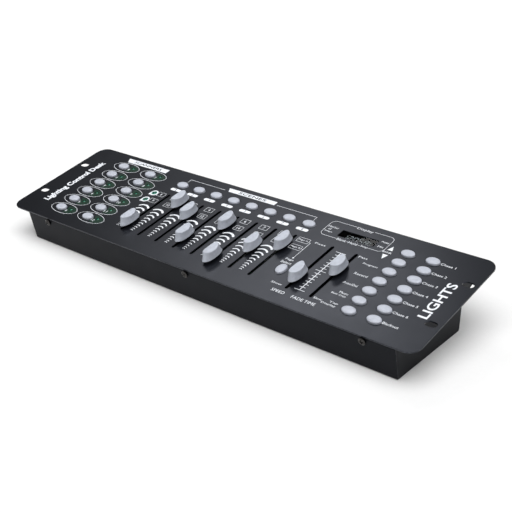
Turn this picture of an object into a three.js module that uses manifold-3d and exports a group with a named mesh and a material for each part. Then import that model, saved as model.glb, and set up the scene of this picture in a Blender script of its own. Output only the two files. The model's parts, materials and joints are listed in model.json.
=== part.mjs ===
// Lighting control desk: a 19-inch, three-unit sloping face panel on a folded steel tray.
// Millimetres, +Z up, +X to the operator's right, +Y to the rear. The desk stands on Z = 0.
//
// The panel, the tray and the boards are drawn in the slope frame: its origin is the middle of the
// panel's top face, its x runs along the panel, its y runs up the slope and its z leaves the panel.
import * as THREE from 'three';
import { mergeVertices } from 'three/addons/utils/BufferGeometryUtils.js';
import Module from 'manifold-3d';

const wasm = await Module();
wasm.setup();

// ---------------------------------------------------------------- driving dimensions

const GAP = 0.3;                      // clearance between neighbouring pieces
const BITE = 0.2;                     // how far joined shapes run into each other

const PANEL_WIDTH = 482.6;            // 19 inch rack panel
const PANEL_DEPTH = 132.5;            // three rack units
const PANEL_THICKNESS = 1.5;
const PANEL_CORNER = 11.5;
const PANEL_SLOPE = THREE.MathUtils.degToRad(10.44);

const RACK_SLOT_X = 232.55;
const RACK_SLOT_Y = 28.6;
const RACK_SLOT_LENGTH = 10.3;
const RACK_SLOT_WIDTH = 6.8;

const SHEET = 1.2;                    // tray sheet
const TRAY_LEFT = -214;
const TRAY_RIGHT = 224;
const FRONT_WALL_HEIGHT = 32;
const FLOOR_REAR_Y = 26;              // the floor's rear edge, in the slope frame
const REAR_WALL_TOP = { y: 33.8, z: -20.5 };
const STEP_EDGE = { y: 57, z: -15.5 };  // the tray steps out under the rear row of buttons

const SCREW_X = [-184.3, 5, 194.3];
const SCREW_NAMES = ['left', 'middle', 'right'];
const SCREW_Z = -4.8;
const SCREW_HEAD_RADIUS = 3.3;
const SCREW_HEAD_HEIGHT = 2;
const SCREW_SHANK_RADIUS = 1.45;
const SCREW_LENGTH = 7;
const SCREW_HOLE_RADIUS = 1.8;
const CUT_OVERRUN = 1;                // how far a cut runs past the faces it opens

const FLANGE_DEPTH = 10;              // panel flanges that the case screws pass into
const FLANGE_LEFT = -205;
const FLANGE_RIGHT = 215;

const BUTTON_HALF_X = 6.6;
const BUTTON_HALF_Y = 4.7;
const BUTTON_HEIGHT = 2.4;            // dome above the panel
const BUTTON_TRAVEL = 0.5;
const BUTTON_SIDES = 12;
const BUTTON_CLEARANCE = 0.35;
const BUTTON_COLLAR = 1.18;           // collar size under the panel, as a share of the dome
const COLLAR_THICKNESS = 1.2;
const STEM_SHARE = 0.34;

const BOARD_TOP = -12;                // all three boards hang level under the panel
const BOARD_THICKNESS = 1.6;
const SWITCH_SIZE = 6;
const SWITCH_HEIGHT = 3.5;
const PLUNGER_RADIUS = 1.75;
const PLUNGER_HEIGHT = 0.5;
const STEM_CLEARANCE = 0.05;          // left under a button's stem when it is fully pressed
const LAMP_RADIUS = 1.45;
const LAMP_HOLE_RADIUS = 1.8;
const LAMP_SIDES = 6;
const LAMP_TOP = 0.1;
const STANDOFF_RADIUS = 2.5;

const FADER_PITCH = 22.86;
const FIRST_FADER_X = -98;
const SPEED_FADER_X = 103.2;
const FADE_FADER_X = 128.5;
const FADER_MIDDLE_Y = -11.2;
const FADER_TRAVEL = 60;
const FADER_SLOT_LENGTH = FADER_TRAVEL + 9;  // leaves room for the lever at both ends
const FADER_SLOT_WIDTH = 3;
const FADER_BODY = { width: 9, length: 88, height: 7 };
const FADER_GROOVE = { width: 3.4, length: 70, depth: 5 };
const LEVER = { width: 1.6, length: 4.6, bottom: -9 };
const CAP_HALF_WIDTH = 5.6;
const CAP_HALF_LENGTH = 12.3;
const CAP_BOTTOM = 2.4;
const CAP_TOP = 11.5;
const CAP_TOP_SHARE = 0.79;
const CAP_DISH = 1.2;
const CAP_WAIST_SHARE = 0.87;         // the flank draws in to this share at CAP_WAIST_HEIGHT
const CAP_WAIST_HEIGHT = 0.6;
const CAP_SIDES = 14;
const CHANNEL_FADER_Y = [-32.9, 14.4, 2.5, -27.8, 6.3, -40.5, -11.1, 4.1];
const SPEED_FADER_Y = -28;
const FADE_FADER_Y = -4;

const SCANNER_COLUMNS = [-186.3, -146.2];
const SCANNER_ROWS = 6;
const SCANNER_FIRST_Y = 43.9;
const SCANNER_ROW_PITCH = 17.8;
const SCANNER_LAMP = { x: 12.8, y: 1.6 };  // from the button to its lamp
const PAGE_LAMPS = [[-116, 19], [-116, 6]];
const SCENE_COUNT = 8;
const SCENE_Y = 42.6;
const PAGE_BUTTON = { x: 83.2, y: -25.7 };
const PROGRAM_COLUMN_X = 167.5;
const CHASE_COLUMN_X = 191.8;
const RIGHT_FIRST_Y = 42.6;
const RIGHT_ROW_PITCH = 14.7;
const PROGRAM_NAMES = ['bank_up', 'bank_down', 'program', 'midi_rec', 'auto_delete', 'music_bank_copy',
  'tap_display'];
const CHASE_NAMES = ['chase_1', 'chase_2', 'chase_3', 'chase_4', 'chase_5', 'chase_6', 'blackout'];

const WINDOW = { x: 115, y: 44, width: 38.4, depth: 9.8 };
const WINDOW_SINK = 0.5;
const WINDOW_LIP = 1.8;
const WINDOW_LIP_THICKNESS = 1;
const DISPLAY = { width: 30.2, depth: 12.8, height: 6.4, pin: 1.2, pinRow: 0.38, pinSpan: 0.84 };

const BOARD_FRONT = -60;
const BOARD_REAR = 52;
const SCANNER_BOARD = {
  left: -208,
  right: -122,
  standoffs: [[-204, -54], [-204, 48], [-126, -54], [-126, 48]],
};
const FADER_BOARD = {
  left: -119.5,
  right: 152,
  standoffs: [[-113, -54], [-113, 35], [27.8, -54], [27.8, 35], [147, -54], [147, 35]],
};
const PROGRAM_BOARD = {
  left: 155,
  right: 206,
  standoffs: [[179.6, -54], [179.6, 0], [179.6, 49]],
};

const SOCKET_HEIGHT = 15.2;           // centre line of the sockets, up the rear wall
const SIGNAL_SOCKET_X = -165;
const MIDI_SOCKET_X = -118;
const POWER_SOCKET_X = 158;
const POWER_SWITCH_X = 190;
const SIGNAL = {
  width: 31,
  height: 25,
  flange: 2,
  radius: 11.6,
  depth: 20,
  mouth: 9.6,
  mouthDepth: 9,
  insert: 7.7,
  contacts: [[-4, 1.6], [4, 1.6], [0, -4]],
  contactRadius: 1.2,
  contactDepth: 6,
};
const MIDI = {
  width: 27,
  height: 19,
  flange: 1.6,
  radius: 8.2,
  depth: 12,
  recess: 7.2,
  contactCircle: 5,
  contactLift: 1.5,
  contactRadius: 0.8,
  contactDepth: 5,
};
const POWER = { nut: 6.2, flange: 2, radius: 3.9, depth: 11, collar: 0.8, mouth: 2.9, mouthFloor: 2, pin: 1 };
const SWITCH = { width: 21, height: 15, flange: 2, body: 19, bodyHeight: 12.8, depth: 12 };
const ROCKER = {
  pocket: 17.2,
  pocketHeight: 11,
  pocketDepth: 8,
  radius: 8.1,
  thickness: 10.4,
  pivot: -1,
  endFrom: -14,                       // degrees: the round ends run from here
  endTo: 32,                          // to here
  crown: 3.3,                         // height of the V's bottom over the pivot
  keel: -4.2,
};
const ROCKER_TILT = THREE.MathUtils.degToRad(10);

// ---------------------------------------------------------------- materials

function finish(color, roughness, metalness = 0) {
  return new THREE.MeshStandardMaterial({ color, roughness, metalness });
}

const materials = {
  panel: finish(0x23252b, 0.45, 0.3),
  tray: finish(0x1b1c20, 0.5, 0.3),
  key: finish(0xc9cbd6, 0.5),
  board: finish(0x1d5a35, 0.6),
  display: finish(0x16181c, 0.5),
  window: finish(0x0b0c0f, 0.15),
  screw: finish(0x6d6555, 0.35, 0.9),
  socket: finish(0x141416, 0.45),
};

// ---------------------------------------------------------------- solid helpers

function toSolid(geometry) {
  const bare = geometry.clone();
  bare.deleteAttribute('normal');
  bare.deleteAttribute('uv');
  const merged = mergeVertices(bare, 1e-4);
  const index = Array.from(merged.index.array);
  const triVerts = [];
  for (let i = 0; i < index.length; i += 3) {
    const [a, b, c] = index.slice(i, i + 3);
    if (a !== b && b !== c && c !== a) triVerts.push(a, b, c);
  }
  const mesh = new wasm.Mesh({
    numProp: 3,
    vertProperties: new Float32Array(merged.attributes.position.array),
    triVerts: new Uint32Array(triVerts),
  });
  return new wasm.Manifold(mesh);
}

function toGeometry(solid) {
  const mesh = solid.getMesh();
  const geometry = new THREE.BufferGeometry();
  geometry.setAttribute('position', new THREE.BufferAttribute(mesh.vertProperties, 3));
  geometry.setIndex(new THREE.BufferAttribute(mesh.triVerts, 1));
  geometry.computeVertexNormals();
  return geometry;
}

// Joins the geometries in the first list and takes away those in the second.
function carve(added, removed = []) {
  let solid = toSolid(added[0]);
  for (const geometry of added.slice(1)) solid = solid.add(toSolid(geometry));
  for (const geometry of removed) solid = solid.subtract(toSolid(geometry));
  return toGeometry(solid);
}

// A box between two corners.
function block(x0, y0, z0, x1, y1, z1) {
  const geometry = new THREE.BoxGeometry(x1 - x0, y1 - y0, z1 - z0);
  return geometry.translate((x0 + x1) / 2, (y0 + y1) / 2, (z0 + z1) / 2);
}

// A box centred on (x, y) between two heights.
function post(x, y, width, depth, bottom, top) {
  return block(x - width / 2, y - depth / 2, bottom, x + width / 2, y + depth / 2, top);
}

// A round bar standing on z = bottom.
function bar(x, y, radius, bottom, top, sides) {
  const geometry = new THREE.CylinderGeometry(radius, radius, top - bottom, sides);
  return geometry.rotateX(Math.PI / 2).translate(x, y, (bottom + top) / 2);
}

function prism(points, holes, bottom, top) {
  const shape = new THREE.Shape(points);
  shape.holes = holes.map((hole) => new THREE.Path(hole));
  const geometry = new THREE.ExtrudeGeometry(shape, { depth: top - bottom, bevelEnabled: false });
  return geometry.translate(0, 0, bottom);
}

// A side profile in (y, z), drawn out along x.
function profileAlongX(points, left, right) {
  const shape = new THREE.Shape(points.map(([y, z]) => new THREE.Vector2(y, z)));
  const geometry = new THREE.ExtrudeGeometry(shape, { depth: right - left, bevelEnabled: false });
  const basis = new THREE.Matrix4().makeBasis(
    new THREE.Vector3(0, 1, 0), new THREE.Vector3(0, 0, 1), new THREE.Vector3(1, 0, 0));
  return geometry.applyMatrix4(basis).translate(left, 0, 0);
}

// A turned shape about z from [radius, height] pairs.
function turned(profile, sides) {
  const points = profile.map(([radius, height]) => new THREE.Vector2(radius, height));
  return new THREE.LatheGeometry(points, sides).rotateX(Math.PI / 2);
}

function ovalPoints(x, y, halfX, halfY, sides) {
  return Array.from({ length: sides }, (_, i) => {
    const angle = (i / sides) * Math.PI * 2;
    return new THREE.Vector2(x + halfX * Math.cos(angle), y + halfY * Math.sin(angle));
  });
}

// A rectangle with quarter-circle corners; a slot is one whose corner is half its width.
function roundedPoints(x, y, width, depth, corner, steps) {
  const quarters = [[1, 1], [-1, 1], [-1, -1], [1, -1]];
  return quarters.flatMap(([signX, signY], quarter) => {
    const centreX = x + signX * (width / 2 - corner);
    const centreY = y + signY * (depth / 2 - corner);
    return Array.from({ length: steps + 1 }, (_, i) => {
      const angle = (quarter + i / steps) * Math.PI / 2;
      return new THREE.Vector2(centreX + corner * Math.cos(angle), centreY + corner * Math.sin(angle));
    });
  });
}

// Drops a corner that falls on the one before it, as at the ends of a slot.
const distinct = (points) => points.filter((p, i) => p.distanceTo(points[(i || points.length) - 1]) > 1e-3);

function part(name, geometry, material) {
  const mesh = new THREE.Mesh(geometry, material);
  mesh.name = name;
  return mesh;
}

// ---------------------------------------------------------------- layout

const scannerKeys = SCANNER_COLUMNS.flatMap((x, column) => Array.from({ length: SCANNER_ROWS }, (_, row) => ({
  name: `scanner_button_${String(column * SCANNER_ROWS + row + 1).padStart(2, '0')}`,
  x,
  y: SCANNER_FIRST_Y - row * SCANNER_ROW_PITCH,
})));

const faderX = (index) => FIRST_FADER_X + index * FADER_PITCH;

const sceneKeys = Array.from({ length: SCENE_COUNT }, (_, index) => (
  { name: `scene_button_${index + 1}`, x: faderX(index), y: SCENE_Y }));

const pageKey = { name: 'page_select_button', ...PAGE_BUTTON, turned: true };

const columnKeys = (names, x) => names.map((name, row) => (
  { name: `${name}_button`, x, y: RIGHT_FIRST_Y - row * RIGHT_ROW_PITCH }));

const programKeys = columnKeys(PROGRAM_NAMES, PROGRAM_COLUMN_X);
const chaseKeys = columnKeys(CHASE_NAMES, CHASE_COLUMN_X);
const keys = [...scannerKeys, ...sceneKeys, pageKey, ...programKeys, ...chaseKeys];

const faders = [
  ...CHANNEL_FADER_Y.map((y, index) => ({ name: `channel_fader_cap_${index + 1}`, x: faderX(index), y })),
  { name: 'speed_fader_cap', x: SPEED_FADER_X, y: SPEED_FADER_Y },
  { name: 'fade_time_fader_cap', x: FADE_FADER_X, y: FADE_FADER_Y },
];

const scannerLamps = scannerKeys.map(({ x, y }) => [x + SCANNER_LAMP.x, y + SCANNER_LAMP.y]);

// ---------------------------------------------------------------- tray outline

const PANEL_FRONT_Y = -PANEL_DEPTH / 2;
const TRAY_RIM = -PANEL_THICKNESS - GAP;
const floorZ = (y) => -FRONT_WALL_HEIGHT - (y - PANEL_FRONT_Y) * Math.tan(PANEL_SLOPE);
const FLOOR_REAR_Z = floorZ(FLOOR_REAR_Y);

// From the top of the front wall round the floor to the top of the rear step.
const trayOutline = [
  [PANEL_FRONT_Y, TRAY_RIM],
  [PANEL_FRONT_Y, -FRONT_WALL_HEIGHT],
  [FLOOR_REAR_Y, FLOOR_REAR_Z],
  [REAR_WALL_TOP.y, REAR_WALL_TOP.z],
  [STEP_EDGE.y, STEP_EDGE.z],
  [STEP_EDGE.y, TRAY_RIM],
];

// The same line moved inwards, to its left as it is walked, by a distance.
function inset(outline, distance) {
  const lines = outline.slice(1).map(([y1, z1], i) => {
    const [y0, z0] = outline[i];
    const length = Math.hypot(y1 - y0, z1 - z0);
    const normal = [-(z1 - z0) / length, (y1 - y0) / length];
    return { y: y0 + normal[0] * distance, z: z0 + normal[1] * distance, dy: y1 - y0, dz: z1 - z0 };
  });
  const corners = lines.slice(1).map((next, i) => {
    const line = lines[i];
    const cross = line.dy * next.dz - line.dz * next.dy;
    const t = ((next.y - line.y) * next.dz - (next.z - line.z) * next.dy) / cross;
    return [line.y + line.dy * t, line.z + line.dz * t];
  });
  const last = lines[lines.length - 1];
  return [[lines[0].y, lines[0].z], ...corners, [last.y + last.dy, last.z + last.dz]];
}

// The frame of the rear wall: x to the right seen from behind, y up the wall, z out of it.
const wallFoot = new THREE.Vector3(0, FLOOR_REAR_Y, FLOOR_REAR_Z);
const wallUp = new THREE.Vector3(0, REAR_WALL_TOP.y, REAR_WALL_TOP.z).sub(wallFoot).normalize();
const wallRight = new THREE.Vector3(-1, 0, 0);
const wallOut = new THREE.Vector3().crossVectors(wallRight, wallUp);
const wallFrame = new THREE.Matrix4().makeBasis(wallRight, wallUp, wallOut).setPosition(wallFoot);
const onWall = (geometry) => geometry.applyMatrix4(wallFrame);

// ---------------------------------------------------------------- sheet metal

const screwHole = (x, y0, y1) => bar(x, 0, SCREW_HOLE_RADIUS, 0, y1 - y0, 10)
  .rotateX(-Math.PI / 2).translate(0, y0, SCREW_Z);

function facePanel() {
  const holes = [];
  for (const key of keys) {
    const halfX = (key.turned ? BUTTON_HALF_Y : BUTTON_HALF_X) + BUTTON_CLEARANCE;
    const halfY = (key.turned ? BUTTON_HALF_X : BUTTON_HALF_Y) + BUTTON_CLEARANCE;
    holes.push(ovalPoints(key.x, key.y, halfX, halfY, BUTTON_SIDES));
  }
  for (const { x } of faders) {
    const corner = FADER_SLOT_WIDTH / 2;
    holes.push(distinct(roundedPoints(x, FADER_MIDDLE_Y, FADER_SLOT_WIDTH, FADER_SLOT_LENGTH, corner, 2)));
  }
  for (const [x, y] of [...scannerLamps, ...PAGE_LAMPS]) {
    holes.push(ovalPoints(x, y, LAMP_HOLE_RADIUS, LAMP_HOLE_RADIUS, LAMP_SIDES));
  }
  for (const signX of [-1, 1]) {
    for (const signY of [-1, 1]) {
      const corner = RACK_SLOT_WIDTH / 2;
      const x = signX * RACK_SLOT_X;
      const y = signY * RACK_SLOT_Y;
      holes.push(distinct(roundedPoints(x, y, RACK_SLOT_LENGTH, RACK_SLOT_WIDTH, corner, 3)));
    }
  }
  holes.push([[-1, -1], [1, -1], [1, 1], [-1, 1]].map(([signX, signY]) => (
    new THREE.Vector2(WINDOW.x + signX * WINDOW.width / 2, WINDOW.y + signY * WINDOW.depth / 2))));
  const outline = roundedPoints(0, 0, PANEL_WIDTH, PANEL_DEPTH, PANEL_CORNER, 5);
  const plate = prism(outline, holes, -PANEL_THICKNESS, 0);

  const flangeTop = -PANEL_THICKNESS + BITE;
  const flangeBottom = -PANEL_THICKNESS - FLANGE_DEPTH;
  const frontFace = PANEL_FRONT_Y + SHEET + GAP;
  const rearFace = STEP_EDGE.y - SHEET - GAP;
  const flanges = [
    block(FLANGE_LEFT, frontFace, flangeBottom, FLANGE_RIGHT, frontFace + SHEET, flangeTop),
    block(FLANGE_LEFT, rearFace - SHEET, flangeBottom, FLANGE_RIGHT, rearFace, flangeTop),
  ];
  const standoffs = [SCANNER_BOARD, FADER_BOARD, PROGRAM_BOARD].flatMap((board) => board.standoffs)
    .map(([px, py]) => bar(px, py, STANDOFF_RADIUS, BOARD_TOP + GAP, flangeTop, 6));
  const screwHoles = SCREW_X.flatMap((sx) => [
    screwHole(sx, frontFace - CUT_OVERRUN, frontFace + SHEET + CUT_OVERRUN),
    screwHole(sx, rearFace - SHEET - CUT_OVERRUN, rearFace + CUT_OVERRUN),
  ]);
  return carve([plate, ...flanges, ...standoffs], screwHoles);
}

function baseTray() {
  const shell = profileAlongX(trayOutline, TRAY_LEFT, TRAY_RIGHT);
  const inner = inset(trayOutline, SHEET);
  inner[0][1] = CUT_OVERRUN;
  inner[inner.length - 1][1] = CUT_OVERRUN;
  const hollow = profileAlongX(inner, TRAY_LEFT + SHEET, TRAY_RIGHT - SHEET);
  const inside = -SHEET - CUT_OVERRUN;
  const through = (x, radius, sides) => onWall(bar(-x, SOCKET_HEIGHT, radius, inside, CUT_OVERRUN, sides));
  const switchWidth = SWITCH.body + 2 * GAP;
  const switchHeight = SWITCH.bodyHeight + 2 * GAP;
  const cuts = [
    hollow,
    through(SIGNAL_SOCKET_X, SIGNAL.radius + GAP, 20),
    through(MIDI_SOCKET_X, MIDI.radius + GAP, 16),
    through(POWER_SOCKET_X, POWER.radius + GAP, 12),
    onWall(post(-POWER_SWITCH_X, SOCKET_HEIGHT, switchWidth, switchHeight, inside, CUT_OVERRUN)),
    ...SCREW_X.map((x) => screwHole(x, PANEL_FRONT_Y - CUT_OVERRUN, PANEL_FRONT_Y + SHEET + CUT_OVERRUN)),
    ...SCREW_X.map((x) => screwHole(x, STEP_EDGE.y - SHEET - CUT_OVERRUN, STEP_EDGE.y + CUT_OVERRUN)),
  ];
  return carve([shell], cuts);
}

function caseScrew() {
  const profile = [
    [0, -SCREW_LENGTH],
    [SCREW_SHANK_RADIUS, -SCREW_LENGTH],
    [SCREW_SHANK_RADIUS, 0],
    [SCREW_HEAD_RADIUS, 0],
    [SCREW_HEAD_RADIUS * 0.94, SCREW_HEAD_HEIGHT * 0.55],
    [SCREW_HEAD_RADIUS * 0.6, SCREW_HEAD_HEIGHT],
    [0, SCREW_HEAD_HEIGHT],
  ];
  return turned(profile, 12);
}

// ---------------------------------------------------------------- buttons and faders

function buttonCap(key) {
  const collarTop = -PANEL_THICKNESS - GAP;
  const collarBottom = collarTop - COLLAR_THICKNESS;
  const stemBottom = BOARD_TOP + SWITCH_HEIGHT + PLUNGER_HEIGHT + BUTTON_TRAVEL + STEM_CLEARANCE;
  const profile = [
    [0, stemBottom],
    [STEM_SHARE, stemBottom],
    [STEM_SHARE, collarBottom],
    [BUTTON_COLLAR, collarBottom],
    [BUTTON_COLLAR, collarTop],
    [1, collarTop],
    [1, BUTTON_HEIGHT * 0.45],
    [0.75, BUTTON_HEIGHT * 0.9],
    [0, BUTTON_HEIGHT],
  ];
  const halfX = key.turned ? BUTTON_HALF_Y : BUTTON_HALF_X;
  const halfY = key.turned ? BUTTON_HALF_X : BUTTON_HALF_Y;
  return turned(profile, BUTTON_SIDES).scale(halfX, halfY, 1);
}

function faderCap() {
  const height = CAP_TOP - CAP_BOTTOM;
  const profile = [
    [0, CAP_BOTTOM],
    [1, CAP_BOTTOM],
    [CAP_WAIST_SHARE, CAP_BOTTOM + height * CAP_WAIST_HEIGHT],
    [CAP_TOP_SHARE, CAP_TOP],
    [CAP_TOP_SHARE * 0.6, CAP_TOP - CAP_DISH * 0.7],
    [0, CAP_TOP - CAP_DISH],
  ];
  const cap = turned(profile, CAP_SIDES).scale(CAP_HALF_WIDTH, CAP_HALF_LENGTH, 1);
  const lever = post(0, 0, LEVER.width, LEVER.length, LEVER.bottom, CAP_BOTTOM + 2);
  return carve([cap, lever]);
}

// ---------------------------------------------------------------- boards

function boardBlank({ left, right }) {
  return block(left, BOARD_FRONT, BOARD_TOP - BOARD_THICKNESS, right, BOARD_REAR, BOARD_TOP);
}

function keySwitch({ x, y }) {
  const bodyTop = BOARD_TOP + SWITCH_HEIGHT;
  return [
    post(x, y, SWITCH_SIZE, SWITCH_SIZE, BOARD_TOP - BITE, bodyTop),
    bar(x, y, PLUNGER_RADIUS, bodyTop - BITE, bodyTop + PLUNGER_HEIGHT, 6),
  ];
}

const lamp = ([x, y]) => bar(x, y, LAMP_RADIUS, BOARD_TOP - BITE, LAMP_TOP, LAMP_SIDES);

function faderBody({ x }) {
  const { width, length, height } = FADER_BODY;
  return post(x, FADER_MIDDLE_Y, width, length, BOARD_TOP - BITE, BOARD_TOP + height);
}

function faderGroove({ x }) {
  const top = BOARD_TOP + FADER_BODY.height;
  const floor = top - FADER_GROOVE.depth;
  return post(x, FADER_MIDDLE_Y, FADER_GROOVE.width, FADER_GROOVE.length, floor, top + CUT_OVERRUN);
}

function scannerBoard() {
  return carve([boardBlank(SCANNER_BOARD), ...scannerKeys.flatMap(keySwitch), ...scannerLamps.map(lamp)]);
}

function faderBoard() {
  const switches = [...sceneKeys, pageKey].flatMap(keySwitch);
  const added = [boardBlank(FADER_BOARD), ...faders.map(faderBody), ...switches, ...PAGE_LAMPS.map(lamp)];
  return carve(added, faders.map(faderGroove));
}

function programBoard() {
  return carve([boardBlank(PROGRAM_BOARD), ...[...programKeys, ...chaseKeys].flatMap(keySwitch)]);
}

// ---------------------------------------------------------------- display

const lipTop = -PANEL_THICKNESS - GAP;
const lipBottom = lipTop - WINDOW_LIP_THICKNESS;

function displayWindow() {
  const width = WINDOW.width - 2 * GAP;
  const depth = WINDOW.depth - 2 * GAP;
  const pane = post(0, 0, width, depth, lipTop - BITE, -WINDOW_SINK);
  const lip = post(0, 0, WINDOW.width + 2 * WINDOW_LIP, WINDOW.depth + 2 * WINDOW_LIP, lipBottom, lipTop);
  return carve([pane, lip]);
}

function displayModule() {
  const top = lipBottom - GAP;
  const bottom = top - DISPLAY.height;
  const body = post(0, 0, DISPLAY.width, DISPLAY.depth, bottom, top);
  const pinY = DISPLAY.depth * DISPLAY.pinRow;
  const pinWidth = DISPLAY.width * DISPLAY.pinSpan;
  const pins = [-pinY, pinY].map((y) => post(0, y, pinWidth, DISPLAY.pin, BOARD_TOP + GAP, bottom + BITE));
  return carve([body, ...pins]);
}

// ---------------------------------------------------------------- rear sockets, in the rear wall's frame

function signalSocket() {
  const face = GAP + SIGNAL.flange;
  const flange = post(0, 0, SIGNAL.width, SIGNAL.height, GAP, face);
  const body = bar(0, 0, SIGNAL.radius, -SIGNAL.depth, GAP + BITE, 20);
  const opened = face + CUT_OVERRUN;
  const insert = bar(0, 0, SIGNAL.insert, -SIGNAL.mouthDepth - CUT_OVERRUN, face - 1, 16);
  const mouth = carve([bar(0, 0, SIGNAL.mouth, -SIGNAL.mouthDepth, opened, 16)], [insert]);
  const contacts = SIGNAL.contacts.map(([x, y]) => (
    bar(x, y, SIGNAL.contactRadius, -SIGNAL.contactDepth, opened, 8)));
  return carve([flange, body], [mouth, ...contacts]);
}

function midiSocket() {
  const face = GAP + MIDI.flange;
  const flange = post(0, 0, MIDI.width, MIDI.height, GAP, face);
  const body = bar(0, 0, MIDI.radius, -MIDI.depth, GAP + BITE, 16);
  const recess = bar(0, 0, MIDI.recess, face - 1, face + CUT_OVERRUN, 16);
  const contacts = Array.from({ length: 5 }, (_, i) => {
    const angle = Math.PI * (i / 4);
    const x = MIDI.contactCircle * Math.cos(angle);
    const y = MIDI.contactLift - MIDI.contactCircle * Math.sin(angle);
    return bar(x, y, MIDI.contactRadius, -MIDI.contactDepth, face + CUT_OVERRUN, 6);
  });
  return carve([flange, body], [recess, ...contacts]);
}

function powerSocket() {
  const face = GAP + POWER.flange;
  const nut = bar(0, 0, POWER.nut, GAP, face, 6);
  const rim = face + POWER.collar;
  const mouthFloor = POWER.mouthFloor - POWER.depth;
  const body = bar(0, 0, POWER.radius, -POWER.depth, rim, 12);
  const pin = bar(0, 0, POWER.pin, mouthFloor - BITE, face, 8);
  const mouth = carve([bar(0, 0, POWER.mouth, mouthFloor, rim + CUT_OVERRUN, 12)], [pin]);
  return carve([nut, body], [mouth]);
}

function powerSwitchHousing() {
  const face = GAP + SWITCH.flange;
  const flange = post(0, 0, SWITCH.width, SWITCH.height, GAP, face);
  const body = post(0, 0, SWITCH.body, SWITCH.bodyHeight, -SWITCH.depth, GAP + BITE);
  const pocket = post(0, 0, ROCKER.pocket, ROCKER.pocketHeight, -ROCKER.pocketDepth, face + CUT_OVERRUN);
  return carve([flange, body], [pocket]);
}

// A see-saw drawn about its pivot: round ends that sweep inside the pocket, and a shallow V on top.
function rockerCap() {
  const steps = 4;
  const endArc = Array.from({ length: steps + 1 }, (_, i) => {
    const angle = THREE.MathUtils.degToRad(THREE.MathUtils.lerp(ROCKER.endFrom, ROCKER.endTo, i / steps));
    return new THREE.Vector2(ROCKER.radius * Math.cos(angle), ROCKER.radius * Math.sin(angle));
  });
  const mirrored = endArc.map((point) => new THREE.Vector2(-point.x, point.y)).reverse();
  const crown = new THREE.Vector2(0, ROCKER.crown);
  const keel = new THREE.Vector2(0, ROCKER.keel);
  const outline = [...endArc, crown, ...mirrored, keel];
  const half = ROCKER.thickness / 2;
  return prism(outline, [], -half, half).rotateX(Math.PI / 2);
}

// ---------------------------------------------------------------- assembly

const desk = new THREE.Group();
const slope = new THREE.Group();
slope.rotation.x = PANEL_SLOPE;
desk.add(slope);

slope.add(part('face_panel', facePanel(), materials.panel));
slope.add(part('base_tray', baseTray(), materials.tray));
slope.add(part('scanner_board', scannerBoard(), materials.board));
slope.add(part('fader_board', faderBoard(), materials.board));
slope.add(part('program_board', programBoard(), materials.board));

const displayGroup = new THREE.Group();
displayGroup.position.set(WINDOW.x, WINDOW.y, 0);
displayGroup.add(part('display_window', displayWindow(), materials.window));
displayGroup.add(part('display_module', displayModule(), materials.display));
slope.add(displayGroup);

SCREW_X.forEach((x, index) => {
  const screw = part(`case_screw_front_${SCREW_NAMES[index]}`, caseScrew(), materials.screw);
  screw.position.set(x, PANEL_FRONT_Y - GAP, SCREW_Z);
  screw.rotation.x = Math.PI / 2;
  slope.add(screw);
});

for (const key of keys) {
  const button = part(key.name, buttonCap(key), materials.key);
  button.position.set(key.x, key.y, 0);
  slope.add(button);
}

for (const fader of faders) {
  const cap = part(fader.name, faderCap(), materials.key);
  cap.position.set(fader.x, fader.y, 0);
  slope.add(cap);
}

const rearWall = new THREE.Group();
rearWall.applyMatrix4(wallFrame);
slope.add(rearWall);

function mountOnWall(mesh, x) {
  mesh.position.x = -x;
  mesh.position.y = SOCKET_HEIGHT;
  rearWall.add(mesh);
}

mountOnWall(part('signal_socket', signalSocket(), materials.socket), SIGNAL_SOCKET_X);
mountOnWall(part('midi_socket', midiSocket(), materials.socket), MIDI_SOCKET_X);
mountOnWall(part('dc_power_socket', powerSocket(), materials.socket), POWER_SOCKET_X);
mountOnWall(part('power_switch_housing', powerSwitchHousing(), materials.socket), POWER_SWITCH_X);

const rocker = part('power_switch_rocker', rockerCap(), materials.socket);
rocker.position.z = ROCKER.pivot;
rocker.rotation.y = ROCKER_TILT;
mountOnWall(rocker, POWER_SWITCH_X);

// The origin is the middle of the desk's outer box, on the table.
const box = new THREE.Box3().setFromObject(desk, true);
const centre = box.getCenter(new THREE.Vector3());
desk.position.set(-centre.x, -centre.y, -box.min.z);

export default desk;
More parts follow.
